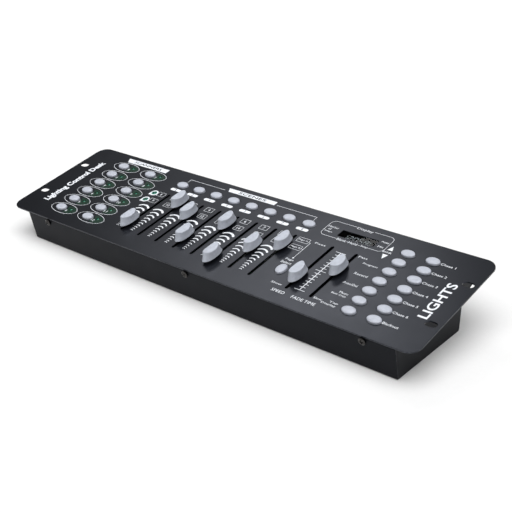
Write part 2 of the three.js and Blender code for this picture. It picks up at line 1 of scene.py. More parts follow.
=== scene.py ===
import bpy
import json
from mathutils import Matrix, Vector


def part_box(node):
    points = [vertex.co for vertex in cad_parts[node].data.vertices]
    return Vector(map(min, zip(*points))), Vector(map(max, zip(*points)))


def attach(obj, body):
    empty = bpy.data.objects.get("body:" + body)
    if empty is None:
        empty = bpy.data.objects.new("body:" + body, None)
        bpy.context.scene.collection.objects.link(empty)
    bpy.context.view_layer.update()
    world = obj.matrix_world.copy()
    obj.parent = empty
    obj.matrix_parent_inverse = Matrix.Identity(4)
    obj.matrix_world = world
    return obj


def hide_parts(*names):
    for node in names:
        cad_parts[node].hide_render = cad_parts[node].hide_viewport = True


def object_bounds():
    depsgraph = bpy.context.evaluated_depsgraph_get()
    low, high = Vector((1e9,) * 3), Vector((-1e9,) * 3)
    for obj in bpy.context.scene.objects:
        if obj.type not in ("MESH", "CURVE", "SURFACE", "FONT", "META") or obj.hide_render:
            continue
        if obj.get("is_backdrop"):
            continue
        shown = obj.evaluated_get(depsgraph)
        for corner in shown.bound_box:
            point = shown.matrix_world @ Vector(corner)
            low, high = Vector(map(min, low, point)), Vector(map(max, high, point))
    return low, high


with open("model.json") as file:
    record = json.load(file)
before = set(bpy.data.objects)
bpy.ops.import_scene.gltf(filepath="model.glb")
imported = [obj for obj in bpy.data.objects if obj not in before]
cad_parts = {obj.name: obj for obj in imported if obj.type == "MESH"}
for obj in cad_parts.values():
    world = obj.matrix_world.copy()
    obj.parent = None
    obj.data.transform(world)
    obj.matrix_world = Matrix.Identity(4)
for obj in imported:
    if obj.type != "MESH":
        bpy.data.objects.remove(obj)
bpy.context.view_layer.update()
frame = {"nodes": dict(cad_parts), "record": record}

import json
import math

import bmesh
import bpy
import numpy as np
from bpy.props import FloatProperty, FloatVectorProperty, PointerProperty, StringProperty
from mathutils import Matrix, Vector

bl_info = {
    "name": "Lighting Control Desk",
    "version": (1, 0, 0),
    "blender": (4, 5, 0),
    "location": "3D View > Sidebar > Desk",
    "description": "Builds the surfaces, legends and finishes of a lighting control desk on its frame",
    "category": "Add Mesh",
}

# ---------------------------------------------------------------- the slope frame
#
# Everything on the panel is drawn in millimetres in the slope frame: its origin is the middle of the
# panel's top face, x runs to the operator's right, y up the slope and z out of the panel.

MM = 0.001
SLOPE = math.radians(10.44)
PANEL_WIDTH = 482.6
PANEL_DEPTH = 132.5
PANEL_THICKNESS = 1.5
PANEL_CORNER = 11.5
SHEET = 1.2
GAP = 0.3

PANEL_LOW, PANEL_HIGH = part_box("face_panel")
TURN = np.array([
    [1, 0, 0],
    [0, math.cos(SLOPE), -math.sin(SLOPE)],
    [0, math.sin(SLOPE), math.cos(SLOPE)],
])
ORIGIN = np.array([
    (PANEL_LOW.x + PANEL_HIGH.x) / 2,
    PANEL_HIGH.y - (PANEL_DEPTH / 2 * math.cos(SLOPE) + PANEL_THICKNESS * math.sin(SLOPE)) * MM,
    PANEL_HIGH.z - PANEL_DEPTH / 2 * math.sin(SLOPE) * MM,
])


def to_desk(points):
    """Slope millimetres to desk metres: turned about x by the slope, then moved to the panel's middle."""
    return np.asarray(points, float) @ TURN.T * MM + ORIGIN


def slope_box(node):
    """A CAD node's lowest and highest corners in slope millimetres."""
    mesh = frame["nodes"][node].data
    points = np.empty(len(mesh.vertices) * 3, np.float32)
    mesh.vertices.foreach_get("co", points)
    local = (points.reshape(-1, 3) - ORIGIN) / MM @ TURN
    return local.min(0), local.max(0)


def middle(node):
    """The middle of a CAD node's box in slope millimetres."""
    low, high = slope_box(node)
    return (low + high) / 2


def nodes_named(*parts):
    """The CAD nodes whose names hold one of these words, in order."""
    return sorted(name for name in frame["nodes"] if any(part in name for part in parts))


BODY_OF = {node: body for body, nodes in frame["record"]["behaviour"]["bodies"].items() for node in nodes}

CAPS = nodes_named("fader_cap")
BUTTONS = nodes_named("_button")
SCANNER_BUTTONS = nodes_named("scanner_button")
CHANNEL_CAPS = nodes_named("channel_fader_cap")

BUTTON_COLLAR = 1.18
FADER_SLOT_Y = -11.2
FADER_SLOT_LENGTH = 69
FADER_SLOT_WIDTH = 3
SCANNER_LAMP = np.array([12.8, 1.6])
PAGE_LAMPS = np.array([[-116, 19], [-116, 6]])
LAMP_HOLE_RADIUS = 1.8
WINDOW_X, WINDOW_Y = middle("display_window")[:2]
WINDOW_WIDTH = 38.4
WINDOW_DEPTH = 9.8
RACK_SLOT = np.array([232.55, 28.6])
SCREW_X = [-184.3, 5, 194.3]
SCREW_Z = -4.8
BOARD_TOP = -12
BOARD_THICKNESS = 1.6

TRAY_LEFT = -214
TRAY_RIGHT = 224
PANEL_FRONT = -PANEL_DEPTH / 2
FRONT_WALL = 32
FLOOR_REAR = np.array([26, -FRONT_WALL - (26 - PANEL_FRONT) * math.tan(SLOPE)])
WALL_TOP = np.array([33.8, -20.5])
STEP_EDGE = np.array([57, -15.5])
SOCKET_HEIGHT = 15.2

FADER_X = np.array([middle(cap)[0] for cap in CHANNEL_CAPS])
SPEED_X = middle("speed_fader_cap")[0]
FADE_X = middle("fade_time_fader_cap")[0]


# ---------------------------------------------------------------- mesh tools

def draft(points, faces):
    """A loose mesh from an array of points and a list of faces, in slope millimetres."""
    mesh = bpy.data.meshes.new("draft")
    mesh.from_pydata(np.asarray(points, float).tolist(), [], faces)
    return mesh


def skin(rings):
    """A closed skin: each ring of points joins the next by quads, and the first and last are filled."""
    count, around = rings.shape[:2]
    index = np.arange(count * around).reshape(count, around)
    ahead = np.roll(index, -1, axis=1)
    quads = np.stack([index[:-1], ahead[:-1], ahead[1:], index[1:]], -1).reshape(-1, 4)
    return draft(rings.reshape(-1, 3), quads.tolist() + [index[0, ::-1].tolist(), index[-1].tolist()])


def circle(sides):
    """Unit cosines and sines at even steps round a circle."""
    angle = np.linspace(0, 2 * math.pi, sides, endpoint=False)
    return np.stack([np.cos(angle), np.sin(angle)], -1)


def oval(x, y, half_x, half_y, sides=48):
    """An ellipse about (x, y)."""
    return circle(sides) * (half_x, half_y) + (x, y)


def rounded(x, y, width, depth, corner, steps=6):
    """A rectangle about (x, y) whose four corners are quarter circles."""
    angle = np.linspace(0, math.pi / 2, steps + 1)
    quarter = np.stack([np.cos(angle), np.sin(angle)], -1) * corner
    reach = np.array([width / 2 - corner, depth / 2 - corner])
    turns = [(1, 1, False), (-1, 1, True), (-1, -1, False), (1, -1, True)]
    arcs = [(quarter[::-1] if back else quarter) * (sx, sy) + reach * (sx, sy) for sx, sy, back in turns]
    return np.concatenate(arcs) + (x, y)


def turned(profile, half_x=1.0, half_y=1.0, centre=(0, 0), sides=48):
    """A profile of (share, height) pairs swept round an ellipse: point = centre + share * (half_x cos a,
    half_y sin a), at that height."""
    profile = np.asarray(profile, float)
    rings = np.empty((len(profile), sides, 3))
    rings[..., :2] = profile[:, None, :1] * circle(sides) * (half_x, half_y) + np.asarray(centre)
    rings[..., 2] = profile[:, None, 1]
    return skin(rings)


def pillow(x, y, width, depth, bottom, top, corner=0.6, edge=0.3, steps=3):
    """A block with round upright corners and rolled edges: each ring is the rounded rectangle drawn in by
    edge * (1 - cos a) while its height climbs edge * sin a, at the bottom and again at the top."""
    angle = np.linspace(0, math.pi / 2, steps + 1)
    inset = edge * (1 - np.cos(angle))
    rise = edge * np.sin(angle)
    insets = np.concatenate([inset[::-1], inset])
    heights = np.concatenate([bottom + edge - rise[::-1], top - edge + rise])
    rings = []
    for drawn, height in zip(insets, heights):
        outline = rounded(x, y, width - 2 * drawn, depth - 2 * drawn, max(corner - drawn, 0.05), 4)
        rings.append(np.column_stack([outline, np.full(len(outline), height)]))
    return skin(np.array(rings))


def swing(mesh, origin, right, up, out):
    """Turns a loose mesh so that its x, y and z run along right, up and out, and moves it to origin."""
    basis = np.column_stack([right, up, out])
    points = read_points(mesh) @ basis.T + np.asarray(origin, float)
    mesh.vertices.foreach_set("co", points.ravel())
    return mesh


def read_points(mesh):
    points = np.empty(len(mesh.vertices) * 3)
    mesh.vertices.foreach_get("co", points)
    return points.reshape(-1, 3)


def plate_curve(loops, bottom, top, edge=0.0):
    """A flat curve through closed loops, filled between them, as thick as top - bottom, its edges rolled
    by the radius edge."""
    curve = bpy.data.curves.new("draft", "CURVE")
    curve.dimensions = "2D"
    curve.fill_mode = "BOTH"
    curve.extrude = (top - bottom) / 2 - edge
    curve.bevel_depth = edge
    curve.bevel_resolution = 1
    curve.offset = -edge
    for loop in loops:
        spline = curve.splines.new("POLY")
        spline.points.add(len(loop) - 1)
        flat = np.column_stack([loop, np.zeros(len(loop)), np.ones(len(loop))])
        spline.points.foreach_set("co", flat.ravel())
        spline.use_cyclic_u = True
    return curve, (bottom + top) / 2


def meshes_from(curves):
    """Turns (curve, height) pairs into loose meshes, all in one evaluation."""
    made = []
    for curve, height in curves:
        holder = bpy.data.objects.new("draft", curve)
        bpy.context.scene.collection.objects.link(holder)
        made.append((holder, curve, height))
    graph = bpy.context.evaluated_depsgraph_get()
    meshes = []
    for holder, curve, height in made:
        mesh = bpy.data.meshes.new_from_object(holder.evaluated_get(graph))
        mesh.materials.clear()
        points = read_points(mesh)
        points[:, 2] += height
        mesh.vertices.foreach_set("co", points.ravel())
        meshes.append(mesh)
    for holder, curve, height in made:
        bpy.data.objects.remove(holder)
        bpy.data.curves.remove(curve)
    return meshes


def plate(loops, bottom, top, edge=0.0):
    """One flat plate with holes, as a loose mesh."""
    return meshes_from([plate_curve(loops, bottom, top, edge)])[0]


def piece(name, meshes, material, body="root", stands_for=(), sharp=35.0, wear=None):
    """Joins loose meshes into one finished piece: doubles merged, faces turned outwards, edges sharper
    than an angle kept crisp, points moved into the desk frame, then ridden on its body."""
    joined = bmesh.new()
    for mesh in meshes:
        joined.from_mesh(mesh)
    bmesh.ops.remove_doubles(joined, verts=joined.verts, dist=0.002)
    bmesh.ops.recalc_face_normals(joined, faces=joined.faces)
    data = bpy.data.meshes.new(name)
    joined.to_mesh(data)
    joined.free()
    for mesh in meshes:
        bpy.data.meshes.remove(mesh)
    local = read_points(data)
    # Edge mask: where the paint is drawn lighter on the edges, for rubbed paint and as a painted highlight.
    if wear is not None:
        worn = data.attributes.new("wear", "FLOAT", "POINT")
        worn.data.foreach_set("value", wear(local).astype(np.float32))
    data.vertices.foreach_set("co", to_desk(local).ravel())
    data.shade_smooth()
    data.set_sharp_from_angle(angle=math.radians(sharp))
    data.update()
    data.materials.append(material)
    made = bpy.data.objects.new(name, data)
    bpy.context.scene.collection.objects.link(made)
    if stands_for:
        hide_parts(*stands_for)
    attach(made, body)
    return made


def rim_wear(points):
    """Rubbed paint and painted highlight of the panel: one on the rolled edges along its outline, which are
    painted lighter for rubbed paint and as the highlight along them; none on its faces and in its holes.
    """
    off = np.minimum(np.abs(points[:, 2]), np.abs(points[:, 2] + PANEL_THICKNESS))
    inward = (PANEL_WIDTH, PANEL_DEPTH) / np.array(2) - np.abs(points[:, :2])
    outline = (inward.min(1) < 1) | (inward.max(1) < PANEL_CORNER)
    return np.clip(off / 0.12, 0, 1) * outline


# ---------------------------------------------------------------- finishes

class Finish:
    """A node material on Object coordinates, with short calls for the noises and bumps that finishes
    share."""

    def __init__(self, name, **sockets):
        self.material = bpy.data.materials.new(name)
        self.material.use_nodes = True
        self.nodes = self.material.node_tree.nodes
        self.links = self.material.node_tree.links
        self.shader = self.nodes["Principled BSDF"]
        for socket, value in sockets.items():
            self.shader.inputs[socket.replace("_", " ")].default_value = value
        self.place = self.nodes.new("ShaderNodeTexCoord").outputs["Object"]

    def noise(self, size, detail=3.0, stretch=None):
        """Noise whose grains are size millimetres across."""
        place = self.place
        if stretch:
            mapping = self.nodes.new("ShaderNodeMapping")
            mapping.inputs["Scale"].default_value = stretch
            self.links.new(place, mapping.inputs["Vector"])
            place = mapping.outputs["Vector"]
        node = self.nodes.new("ShaderNodeTexNoise")
        node.inputs["Scale"].default_value = 1 / (size * MM)
        node.inputs["Detail"].default_value = detail
        self.links.new(place, node.inputs["Vector"])
        return node.outputs["Fac"]

    def scaled(self, value, low, high, at_low=0.3, at_high=0.7):
        """A value stretched from at_low..at_high to low..high."""
        node = self.nodes.new("ShaderNodeMapRange")
        for socket, number in zip(("From Min", "From Max", "To Min", "To Max"), (at_low, at_high, low, high)):
            node.inputs[socket].default_value = number
        self.links.new(value, node.inputs["Value"])
        return node.outputs["Result"]

    def times(self, first, second):
        node = self.nodes.new("ShaderNodeMath")
        node.operation = "MULTIPLY"
        self.links.new(first, node.inputs[0])
        self.links.new(second, node.inputs[1])
        return node.outputs[0]

    def blended(self, factor, first, second):
        """The first colour where factor is zero and the second where it is one; either may be a socket."""
        node = self.nodes.new("ShaderNodeMix")
        node.data_type = "RGBA"
        self.links.new(factor, node.inputs[0])
        for socket, colour in ((node.inputs[6], first), (node.inputs[7], second)):
            if isinstance(colour, bpy.types.NodeSocket):
                self.links.new(colour, socket)
            else:
                socket.default_value = (*colour, 1)
        return node.outputs[2]

    def colour(self, socket):
        self.links.new(socket, self.shader.inputs["Base Color"])

    def rough(self, socket):
        self.links.new(socket, self.shader.inputs["Roughness"])

    def bump(self, height, depth, strength=1.0):
        """A bump whose full swing is depth millimetres; further calls lay one bump on another."""
        node = self.nodes.new("ShaderNodeBump")
        node.inputs["Strength"].default_value = strength
        node.inputs["Distance"].default_value = depth * MM
        self.links.new(height, node.inputs["Height"])
        if self.shader.inputs["Normal"].is_linked:
            self.links.new(self.shader.inputs["Normal"].links[0].from_socket, node.inputs["Normal"])
        self.links.new(node.outputs["Normal"], self.shader.inputs["Normal"])

    def attribute(self, name):
        node = self.nodes.new("ShaderNodeAttribute")
        node.attribute_name = name
        return node.outputs["Fac"]


def shade(colour, share):
    """A colour made lighter or darker by a share."""
    return tuple(min(channel * share, 1.0) for channel in colour)


def paint_finish(name, colour, roughness, specular):
    """Baked powder paint on steel: fine orange peel, dull and glossy patches, and a lighter bare grey on the
    rolled edges, painted there both for rubbed paint and as a painted highlight along them.
    """
    paint = Finish(name, Roughness=roughness, Specular_IOR_Level=specular, Specular_Tint=(0.76, 0.82, 1.0, 1))
    patches = paint.scaled(paint.noise(38, 4), 0, 1)
    body = paint.blended(patches, shade(colour, 0.88), shade(colour, 1.12))
    # The lighter grey on the edges is partly rubbed paint and partly a painted highlight along them.
    worn = paint.times(paint.attribute("wear"), paint.scaled(paint.noise(2.2, 4), 0.15, 1, 0.42, 0.66))
    paint.colour(paint.blended(worn, body, (0.035, 0.037, 0.042)))
    paint.rough(paint.scaled(paint.noise(14, 5), roughness - 0.012, roughness + 0.015))
    paint.bump(paint.noise(0.9, 3), 0.02, 0.6)
    return paint.material


def rubber_finish(colour):
    """Silicone button rubber: matt with a faint milky mottle and fine moulded grain."""
    rubber = Finish("button rubber", Roughness=0.42, Specular_IOR_Level=0.45, Subsurface_Weight=0.12,
                    Subsurface_Scale=0.002, Subsurface_Radius=(1.0, 0.95, 0.9))
    mottle = rubber.scaled(rubber.noise(2.6, 4), 0, 1)
    rubber.colour(rubber.blended(mottle, shade(colour, 0.93), shade(colour, 1.06)))
    rubber.rough(rubber.scaled(rubber.noise(1.4, 3), 0.34, 0.52))
    rubber.bump(rubber.noise(0.35, 2), 0.02, 0.4)
    rubber.bump(rubber.noise(2.8, 2), 0.05, 0.35)
    return rubber.material


def cap_finish(colour):
    """Spark-eroded grey plastic of the fader caps: an even fine grain and slightly greasy patches."""
    plastic = Finish("fader cap plastic", Roughness=0.5, Specular_IOR_Level=0.4)
    mottle = plastic.scaled(plastic.noise(3.2, 5), 0, 1)
    plastic.colour(plastic.blended(mottle, shade(colour, 0.92), shade(colour, 1.07)))
    plastic.rough(plastic.scaled(plastic.noise(4.0, 3), 0.4, 0.6))
    plastic.bump(plastic.noise(0.28, 2), 0.03, 0.5)
    return plastic.material


def ink_finish(name, colour, roughness=0.55):
    """Screen ink: a slightly uneven film with pinholes."""
    ink = Finish(name, Roughness=roughness, Specular_IOR_Level=0.3)
    film = ink.scaled(ink.noise(0.8, 3), 0, 1)
    ink.colour(ink.blended(film, shade(colour, 0.9), colour))
    ink.bump(ink.noise(0.3, 2), 0.01, 0.4)
    return ink.material


def lamp_finish(colour):
    """Tinted lens of an indicator lamp: glossy, a little cloudy inside."""
    lens = Finish("lamp lens", Roughness=0.12, Specular_IOR_Level=0.5, Coat_Weight=0.4,
                  Subsurface_Weight=0.25, Subsurface_Scale=0.0015)
    cloud = lens.scaled(lens.noise(0.9, 2), 0, 1)
    lens.colour(lens.blended(cloud, shade(colour, 0.8), shade(colour, 1.25)))
    return lens.material


def metal_finish(name, colour, roughness, scratch=0.25):
    """Plated or bare metal with fine turned scratches and dull spots."""
    metal = Finish(name, Metallic=1.0, Roughness=roughness)
    stain = metal.scaled(metal.noise(1.8, 5), 0, 1)
    metal.colour(metal.blended(stain, shade(colour, 0.75), colour))
    metal.rough(metal.scaled(metal.noise(0.7, 4), roughness - 0.08, roughness + 0.14))
    metal.bump(metal.noise(scratch, 2, (1, 1, 6)), 0.01, 0.4)
    return metal.material


def plastic_finish(name, colour, roughness, grain=0.5, depth=0.015):
    """Moulded plastic with a fine grain and a slow change of gloss."""
    plastic = Finish(name, Roughness=roughness, Specular_IOR_Level=0.4)
    mottle = plastic.scaled(plastic.noise(5, 4), 0, 1)
    plastic.colour(plastic.blended(mottle, shade(colour, 0.85), shade(colour, 1.15)))
    plastic.rough(plastic.scaled(plastic.noise(2.4, 3), roughness - 0.06, roughness + 0.08))
    plastic.bump(plastic.noise(grain, 2), depth, 0.5)
    return plastic.material


def board_finish(colour):
    """Solder-masked circuit board: glossy green with the lighter run of copper tracks under it."""
    board = Finish("circuit board", Roughness=0.32, Coat_Weight=0.3)
    track = board.nodes.new("ShaderNodeTexVoronoi")
    track.feature = "DISTANCE_TO_EDGE"
    track.inputs["Scale"].default_value = 1 / (7 * MM)
    board.links.new(board.place, track.inputs["Vector"])
    run = board.scaled(track.outputs["Distance"], 1, 0, 0.02, 0.06)
    board.colour(board.blended(run, shade(colour, 0.8), shade(colour, 1.9)))
    board.bump(run, 0.03, 0.5)
    return board.material


def window_finish():
    """Smoked pane: dark and clear. Its index is set low, so that it mirrors little of the light."""
    pane = Finish("smoked acrylic", Transmission_Weight=1.0, Roughness=0.03, IOR=1.12,
                  Base_Color=(0.6, 0.63, 0.65, 1), Specular_IOR_Level=0.12)
    haze = pane.scaled(pane.noise(6, 4), 0.005, 0.02)
    pane.rough(haze)
    pane.bump(pane.noise(12, 2), 0.005, 0.02)
    return pane.material


def module_finish():
    """Matt black plastic behind the window, dull enough to leave the digits readable."""
    case = Finish("display module", Base_Color=(0.004, 0.0045, 0.005, 1), Specular_IOR_Level=0.04)
    case.rough(case.scaled(case.noise(8, 3), 0.45, 0.6))
    case.bump(case.noise(14, 2), 0.02, 0.15)
    return case.material


def floor_finish(colour):
    """Matt paper sweep with a barely visible tooth."""
    paper = Finish("studio paper", Roughness=0.9, Specular_IOR_Level=0.1)
    tooth = paper.scaled(paper.noise(4, 3), 0, 1)
    paper.colour(paper.blended(tooth, shade(colour, 0.985), colour))
    return paper.material


FINISHES = {}


def finish(name):
    """The material of that name, made from the colours in the sidebar the first time it is asked for."""
    if name in FINISHES:
        return FINISHES[name]
    colours = bpy.context.scene.desk_colours
    recipes = {
        "panel": lambda: paint_finish("panel paint", tuple(colours.panel), 0.32, 0.42),
        # The tray is the panel's black paint, drawn a little darker here as painted shade on its walls.
        "tray": lambda: paint_finish("tray paint", tuple(colours.tray), 0.42, 0.11),
        "button": lambda: rubber_finish(tuple(colours.button)),
        "cap": lambda: cap_finish(tuple(colours.cap)),
        "white ink": lambda: ink_finish("white ink", tuple(colours.ink)),
        "dark ink": lambda: ink_finish("dark ink", (0.012, 0.014, 0.018)),
        "green ink": lambda: ink_finish("green ink", tuple(colours.green), 0.35),
        "teal ink": lambda: ink_finish("teal ink", (0.02, 0.2, 0.15)),
        "lamp": lambda: lamp_finish(tuple(colours.lamp)),
        "zinc": lambda: metal_finish("black zinc", (0.06, 0.058, 0.056), 0.2),
        "steel": lambda: metal_finish("blackened steel", (0.035, 0.035, 0.04), 0.45),
        "nickel": lambda: metal_finish("nickel plate", (0.62, 0.61, 0.58), 0.25),
        "socket": lambda: plastic_finish("socket plastic", (0.012, 0.012, 0.013), 0.42),
        "switch": lambda: plastic_finish("switch plastic", (0.02, 0.02, 0.022), 0.5),
        "board": lambda: board_finish((0.01, 0.075, 0.03)),
        "window": window_finish,
        "module": module_finish,
        "digits": lambda: ink_finish("display segments", (0.66, 0.71, 0.71), 0.7),
    }
    FINISHES[name] = recipes[name]()
    return FINISHES[name]


# ---------------------------------------------------------------- sheet metal

def button_spot(node):
    """A button's (x, y, half width, half depth) at the panel: the collar's box, drawn in to the dome."""
    low, high = slope_box(node)
    x, y = (low[:2] + high[:2]) / 2
    half_x, half_y = (high[:2] - low[:2]) / 2 / BUTTON_COLLAR
    return x, y, half_x, half_y


def lamp_spots():
    """Every lamp's (x, y): one beside each scanner button, then the two page lamps."""
    spots = np.array([button_spot(node)[:2] for node in SCANNER_BUTTONS]) + SCANNER_LAMP
    return np.concatenate([spots, PAGE_LAMPS])


def panel_loops():
    """The panel's outline and every hole through it."""
    clearance = 0.35
    loops = [rounded(0, 0, PANEL_WIDTH, PANEL_DEPTH, PANEL_CORNER, 16)]
    for node in BUTTONS:
        x, y, half_x, half_y = button_spot(node)
        loops.append(oval(x, y, half_x + clearance, half_y + clearance))
    for cap in CAPS:
        x = middle(cap)[0]
        loops.append(rounded(x, FADER_SLOT_Y, FADER_SLOT_WIDTH, FADER_SLOT_LENGTH, FADER_SLOT_WIDTH / 2, 8))
    loops += [oval(x, y, LAMP_HOLE_RADIUS, LAMP_HOLE_RADIUS, 24) for x, y in lamp_spots()]
    for sign_x in (-1, 1):
        for sign_y in (-1, 1):
            x, y = RACK_SLOT * (sign_x, sign_y)
            loops.append(rounded(x, y, 10.3, 6.8, 3.4, 8))
    loops.append(rounded(WINDOW_X, WINDOW_Y, WINDOW_WIDTH, WINDOW_DEPTH, 0.5, 3))
    return loops


class DESK_OT_panel(bpy.types.Operator):
    """Build the face panel, its two flanges and the posts that carry the boards"""
    bl_idname = "desk.panel"
    bl_label = "Face Panel"

    def execute(self, context):
        edge = context.scene.desk_sizes.panel_edge / MM
        face = plate(panel_loops(), -PANEL_THICKNESS, 0, edge)
        piece("face_panel_plate", [face], finish("panel"), stands_for=["face_panel"],
              sharp=12, wear=rim_wear)
        for name, y in (("front", PANEL_FRONT + SHEET + GAP), ("rear", STEP_EDGE[0] - 2 * SHEET - GAP)):
            flange = pillow(5, y + SHEET / 2, 420, SHEET, -11.5, -PANEL_THICKNESS + 0.05, 0.4, 0.25)
            piece(f"panel_flange_{name}", [flange], finish("panel"))
        posts = [(-204, -54), (-204, 48), (-126, -54), (-126, 48), (-113, -54), (-113, 35), (27.8, -54),
                 (27.8, 35), (147, -54), (147, 35), (179.6, -54), (179.6, 0), (179.6, 49)]
        profile = [(0.9, BOARD_TOP + GAP), (1, BOARD_TOP + GAP + 0.2), (1, -2), (1.08, -1.55)]
        columns = [turned(profile, 2.5, 2.5, spot, 6) for spot in posts]
        piece("panel_posts", columns, finish("nickel"))
        return {"FINISHED"}


def bent_line(corners, radius, steps=6):
    """A line of corners with each inner corner rounded: the arc touches both sides at
    radius * tan(turn / 2) from the corner and its points step evenly through the turn."""
    corners = np.asarray(corners, float)
    points = [corners[0]]
    for before, corner, after in zip(corners[:-2], corners[1:-1], corners[2:]):
        into = (corner - before) / np.linalg.norm(corner - before)
        away = (after - corner) / np.linalg.norm(after - corner)
        turn = math.atan2(into[0] * away[1] - into[1] * away[0], into @ away)
        side = math.copysign(1, turn)
        start = corner - into * radius * math.tan(abs(turn) / 2)
        centre = start + side * radius * np.array([-into[1], into[0]])
        angle = np.linspace(0, turn, steps + 1)
        spoke = start - centre
        arc = np.column_stack([spoke[0] * np.cos(angle) - spoke[1] * np.sin(angle),
                               spoke[0] * np.sin(angle) + spoke[1] * np.cos(angle)])
        points.extend(centre + arc)
    points.append(corners[-1])
    return np.array(points)


def inset_line(corners, distance):
    """The same line of corners moved to its left by a distance, each corner where the moved sides meet."""
    corners = np.asarray(corners, float)
    along = np.diff(corners, axis=0)
    along /= np.linalg.norm(along, axis=1)[:, None]
    left = np.column_stack([-along[:, 1], along[:, 0]])
    mitre = (left[:-1] + left[1:]) / (1 + np.sum(left[:-1] * left[1:], axis=1))[:, None]
    moves = np.concatenate([left[:1], mitre, left[-1:]])
    return corners + moves * distance


RIM = -PANEL_THICKNESS - GAP
TRAY_CORNERS = [
    (PANEL_FRONT, RIM),
    (PANEL_FRONT, -FRONT_WALL),
    tuple(FLOOR_REAR),
    tuple(WALL_TOP),
    tuple(STEP_EDGE),
    (STEP_EDGE[0], RIM),
]

WALL_UP = np.array([0, *(WALL_TOP - FLOOR_REAR)]) / np.linalg.norm(WALL_TOP - FLOOR_REAR)
WALL_RIGHT = np.array([-1.0, 0, 0])
WALL_OUT = np.cross(WALL_RIGHT, WALL_UP)


def on_wall(mesh, x, height=SOCKET_HEIGHT, lift=0.0):
    """Moves a loose mesh drawn flat, z outwards, onto the rear wall at a place along x."""
    origin = np.array([x, *FLOOR_REAR]) + WALL_UP * height + WALL_OUT * lift
    return swing(mesh, origin, WALL_RIGHT, WALL_UP, WALL_OUT)


def on_front(mesh, x, y=PANEL_FRONT, z=SCREW_Z):
    """Moves a loose mesh drawn flat, z outwards, onto the front wall."""
    return swing(mesh, (x, y, z), (1, 0, 0), (0, 0, 1), (0, -1, 0))


def on_riser(mesh, x):
    """Moves a loose mesh drawn flat, z outwards, onto the riser at the rear of the tray."""
    return swing(mesh, (x, STEP_EDGE[0], SCREW_Z), (-1, 0, 0), (0, 0, 1), (0, 1, 0))


def drill(mesh, cutters):
    """Cuts closed loose meshes out of another and gives back the result."""
    body = bpy.data.objects.new("draft", mesh)
    merged = bmesh.new()
    for cutter in cutters:
        merged.from_mesh(cutter)
        bpy.data.meshes.remove(cutter)
    bmesh.ops.recalc_face_normals(merged, faces=merged.faces)
    tool_mesh = bpy.data.meshes.new("draft")
    merged.to_mesh(tool_mesh)
    merged.free()
    tool = bpy.data.objects.new("draft", tool_mesh)
    for holder in (body, tool):
        bpy.context.scene.collection.objects.link(holder)
    cut = body.modifiers.new("cut", "BOOLEAN")
    cut.operation = "DIFFERENCE"
    cut.solver = "EXACT"
    cut.object = tool
    result = bpy.data.meshes.new_from_object(body.evaluated_get(bpy.context.evaluated_depsgraph_get()))
    for holder in (body, tool):
        data = holder.data
        bpy.data.objects.remove(holder)
        bpy.data.meshes.remove(data)
    return result


def rod(radius, bottom, top, sides=32):
    """A plain closed rod about the z axis, used to drill holes."""
    return turned([(1, bottom), (1, top)], radius, radius, (0, 0), sides)


def folded_sheet():
    """The tray's one bent sheet: its outer line and the same line moved in by the sheet's thickness close
    into a strip, which is carried along x with its corners broken by a small chamfer at both ends."""
    outer = bent_line(TRAY_CORNERS, 1.6)
    inner = bent_line(inset_line(TRAY_CORNERS, SHEET), 0.6)
    breaks = 0.25
    stations = [(TRAY_LEFT, breaks), (TRAY_LEFT + breaks, 0), (TRAY_RIGHT - breaks, 0), (TRAY_RIGHT, breaks)]
    rings = []
    for x, drawn in stations:
        line = outer + (inner - outer) * drawn / SHEET
        ring = np.concatenate([line, inner[::-1]])
        rings.append(np.column_stack([np.full(len(ring), x), ring]))
    return skin(np.array(rings))


def end_wall(x_low, x_high):
    """A flat end wall that fills the bent sheet's inner line."""
    inner = bent_line(inset_line(TRAY_CORNERS, SHEET - 0.02), 0.6)
    flat = plate([inner], x_low, x_high, 0.12)
    return swing(flat, (0, 0, 0), (0, 1, 0), (0, 0, 1), (1, 0, 0))


class DESK_OT_tray(bpy.types.Operator):
    """Build the folded tray and its end walls, drilled for the sockets, the power switch and the case screws
    """
    bl_idname = "desk.tray"
    bl_label = "Tray"

    def execute(self, context):
        cutters = [
            on_wall(rod(11.9, -2.5, 1.5), middle("signal_socket")[0]),
            on_wall(rod(8.5, -2.5, 1.5), middle("midi_socket")[0]),
            on_wall(rod(4.2, -2.5, 1.5), middle("dc_power_socket")[0]),
            on_wall(pillow(0, 0, 19.6, 13.4, -2.5, 1.5, 0.8, 0.05, 1), middle("power_switch_housing")[0]),
        ]
        cutters += [on_front(rod(1.8, -2.5, 1.5, 20), x) for x in SCREW_X]
        cutters += [on_riser(rod(1.8, -2.5, 1.5, 20), x) for x in SCREW_X]
        sheet = drill(folded_sheet(), cutters)
        ends = (TRAY_LEFT, TRAY_RIGHT)
        # The ends of the sheet are painted lighter for rubbed paint and as a painted highlight on the corner
        # edges.
        worn = tray_wear(ends)
        paint = finish("tray")
        inset = 0.05
        piece("tray_sheet", [sheet], paint, stands_for=["base_tray"], sharp=20, wear=worn)
        left_wall = end_wall(TRAY_LEFT + inset, TRAY_LEFT + SHEET)
        right_wall = end_wall(TRAY_RIGHT - SHEET, TRAY_RIGHT - inset)
        piece("tray_end_left", [left_wall], paint, sharp=12)
        piece("tray_end_right", [right_wall], paint, sharp=12)
        return {"FINISHED"}


def tray_wear(ends):
    """Rubbed paint and painted highlight of the tray: one at the ends of the sheet, whose corner edges are
    painted lighter for both, falling to none a fifth of a millimetre in.
    """
    def worn(points):
        off = np.minimum(np.abs(points[:, 0] - ends[0]), np.abs(points[:, 0] - ends[1]))
        return np.clip(1 - off / 0.2, 0, 1)
    return worn


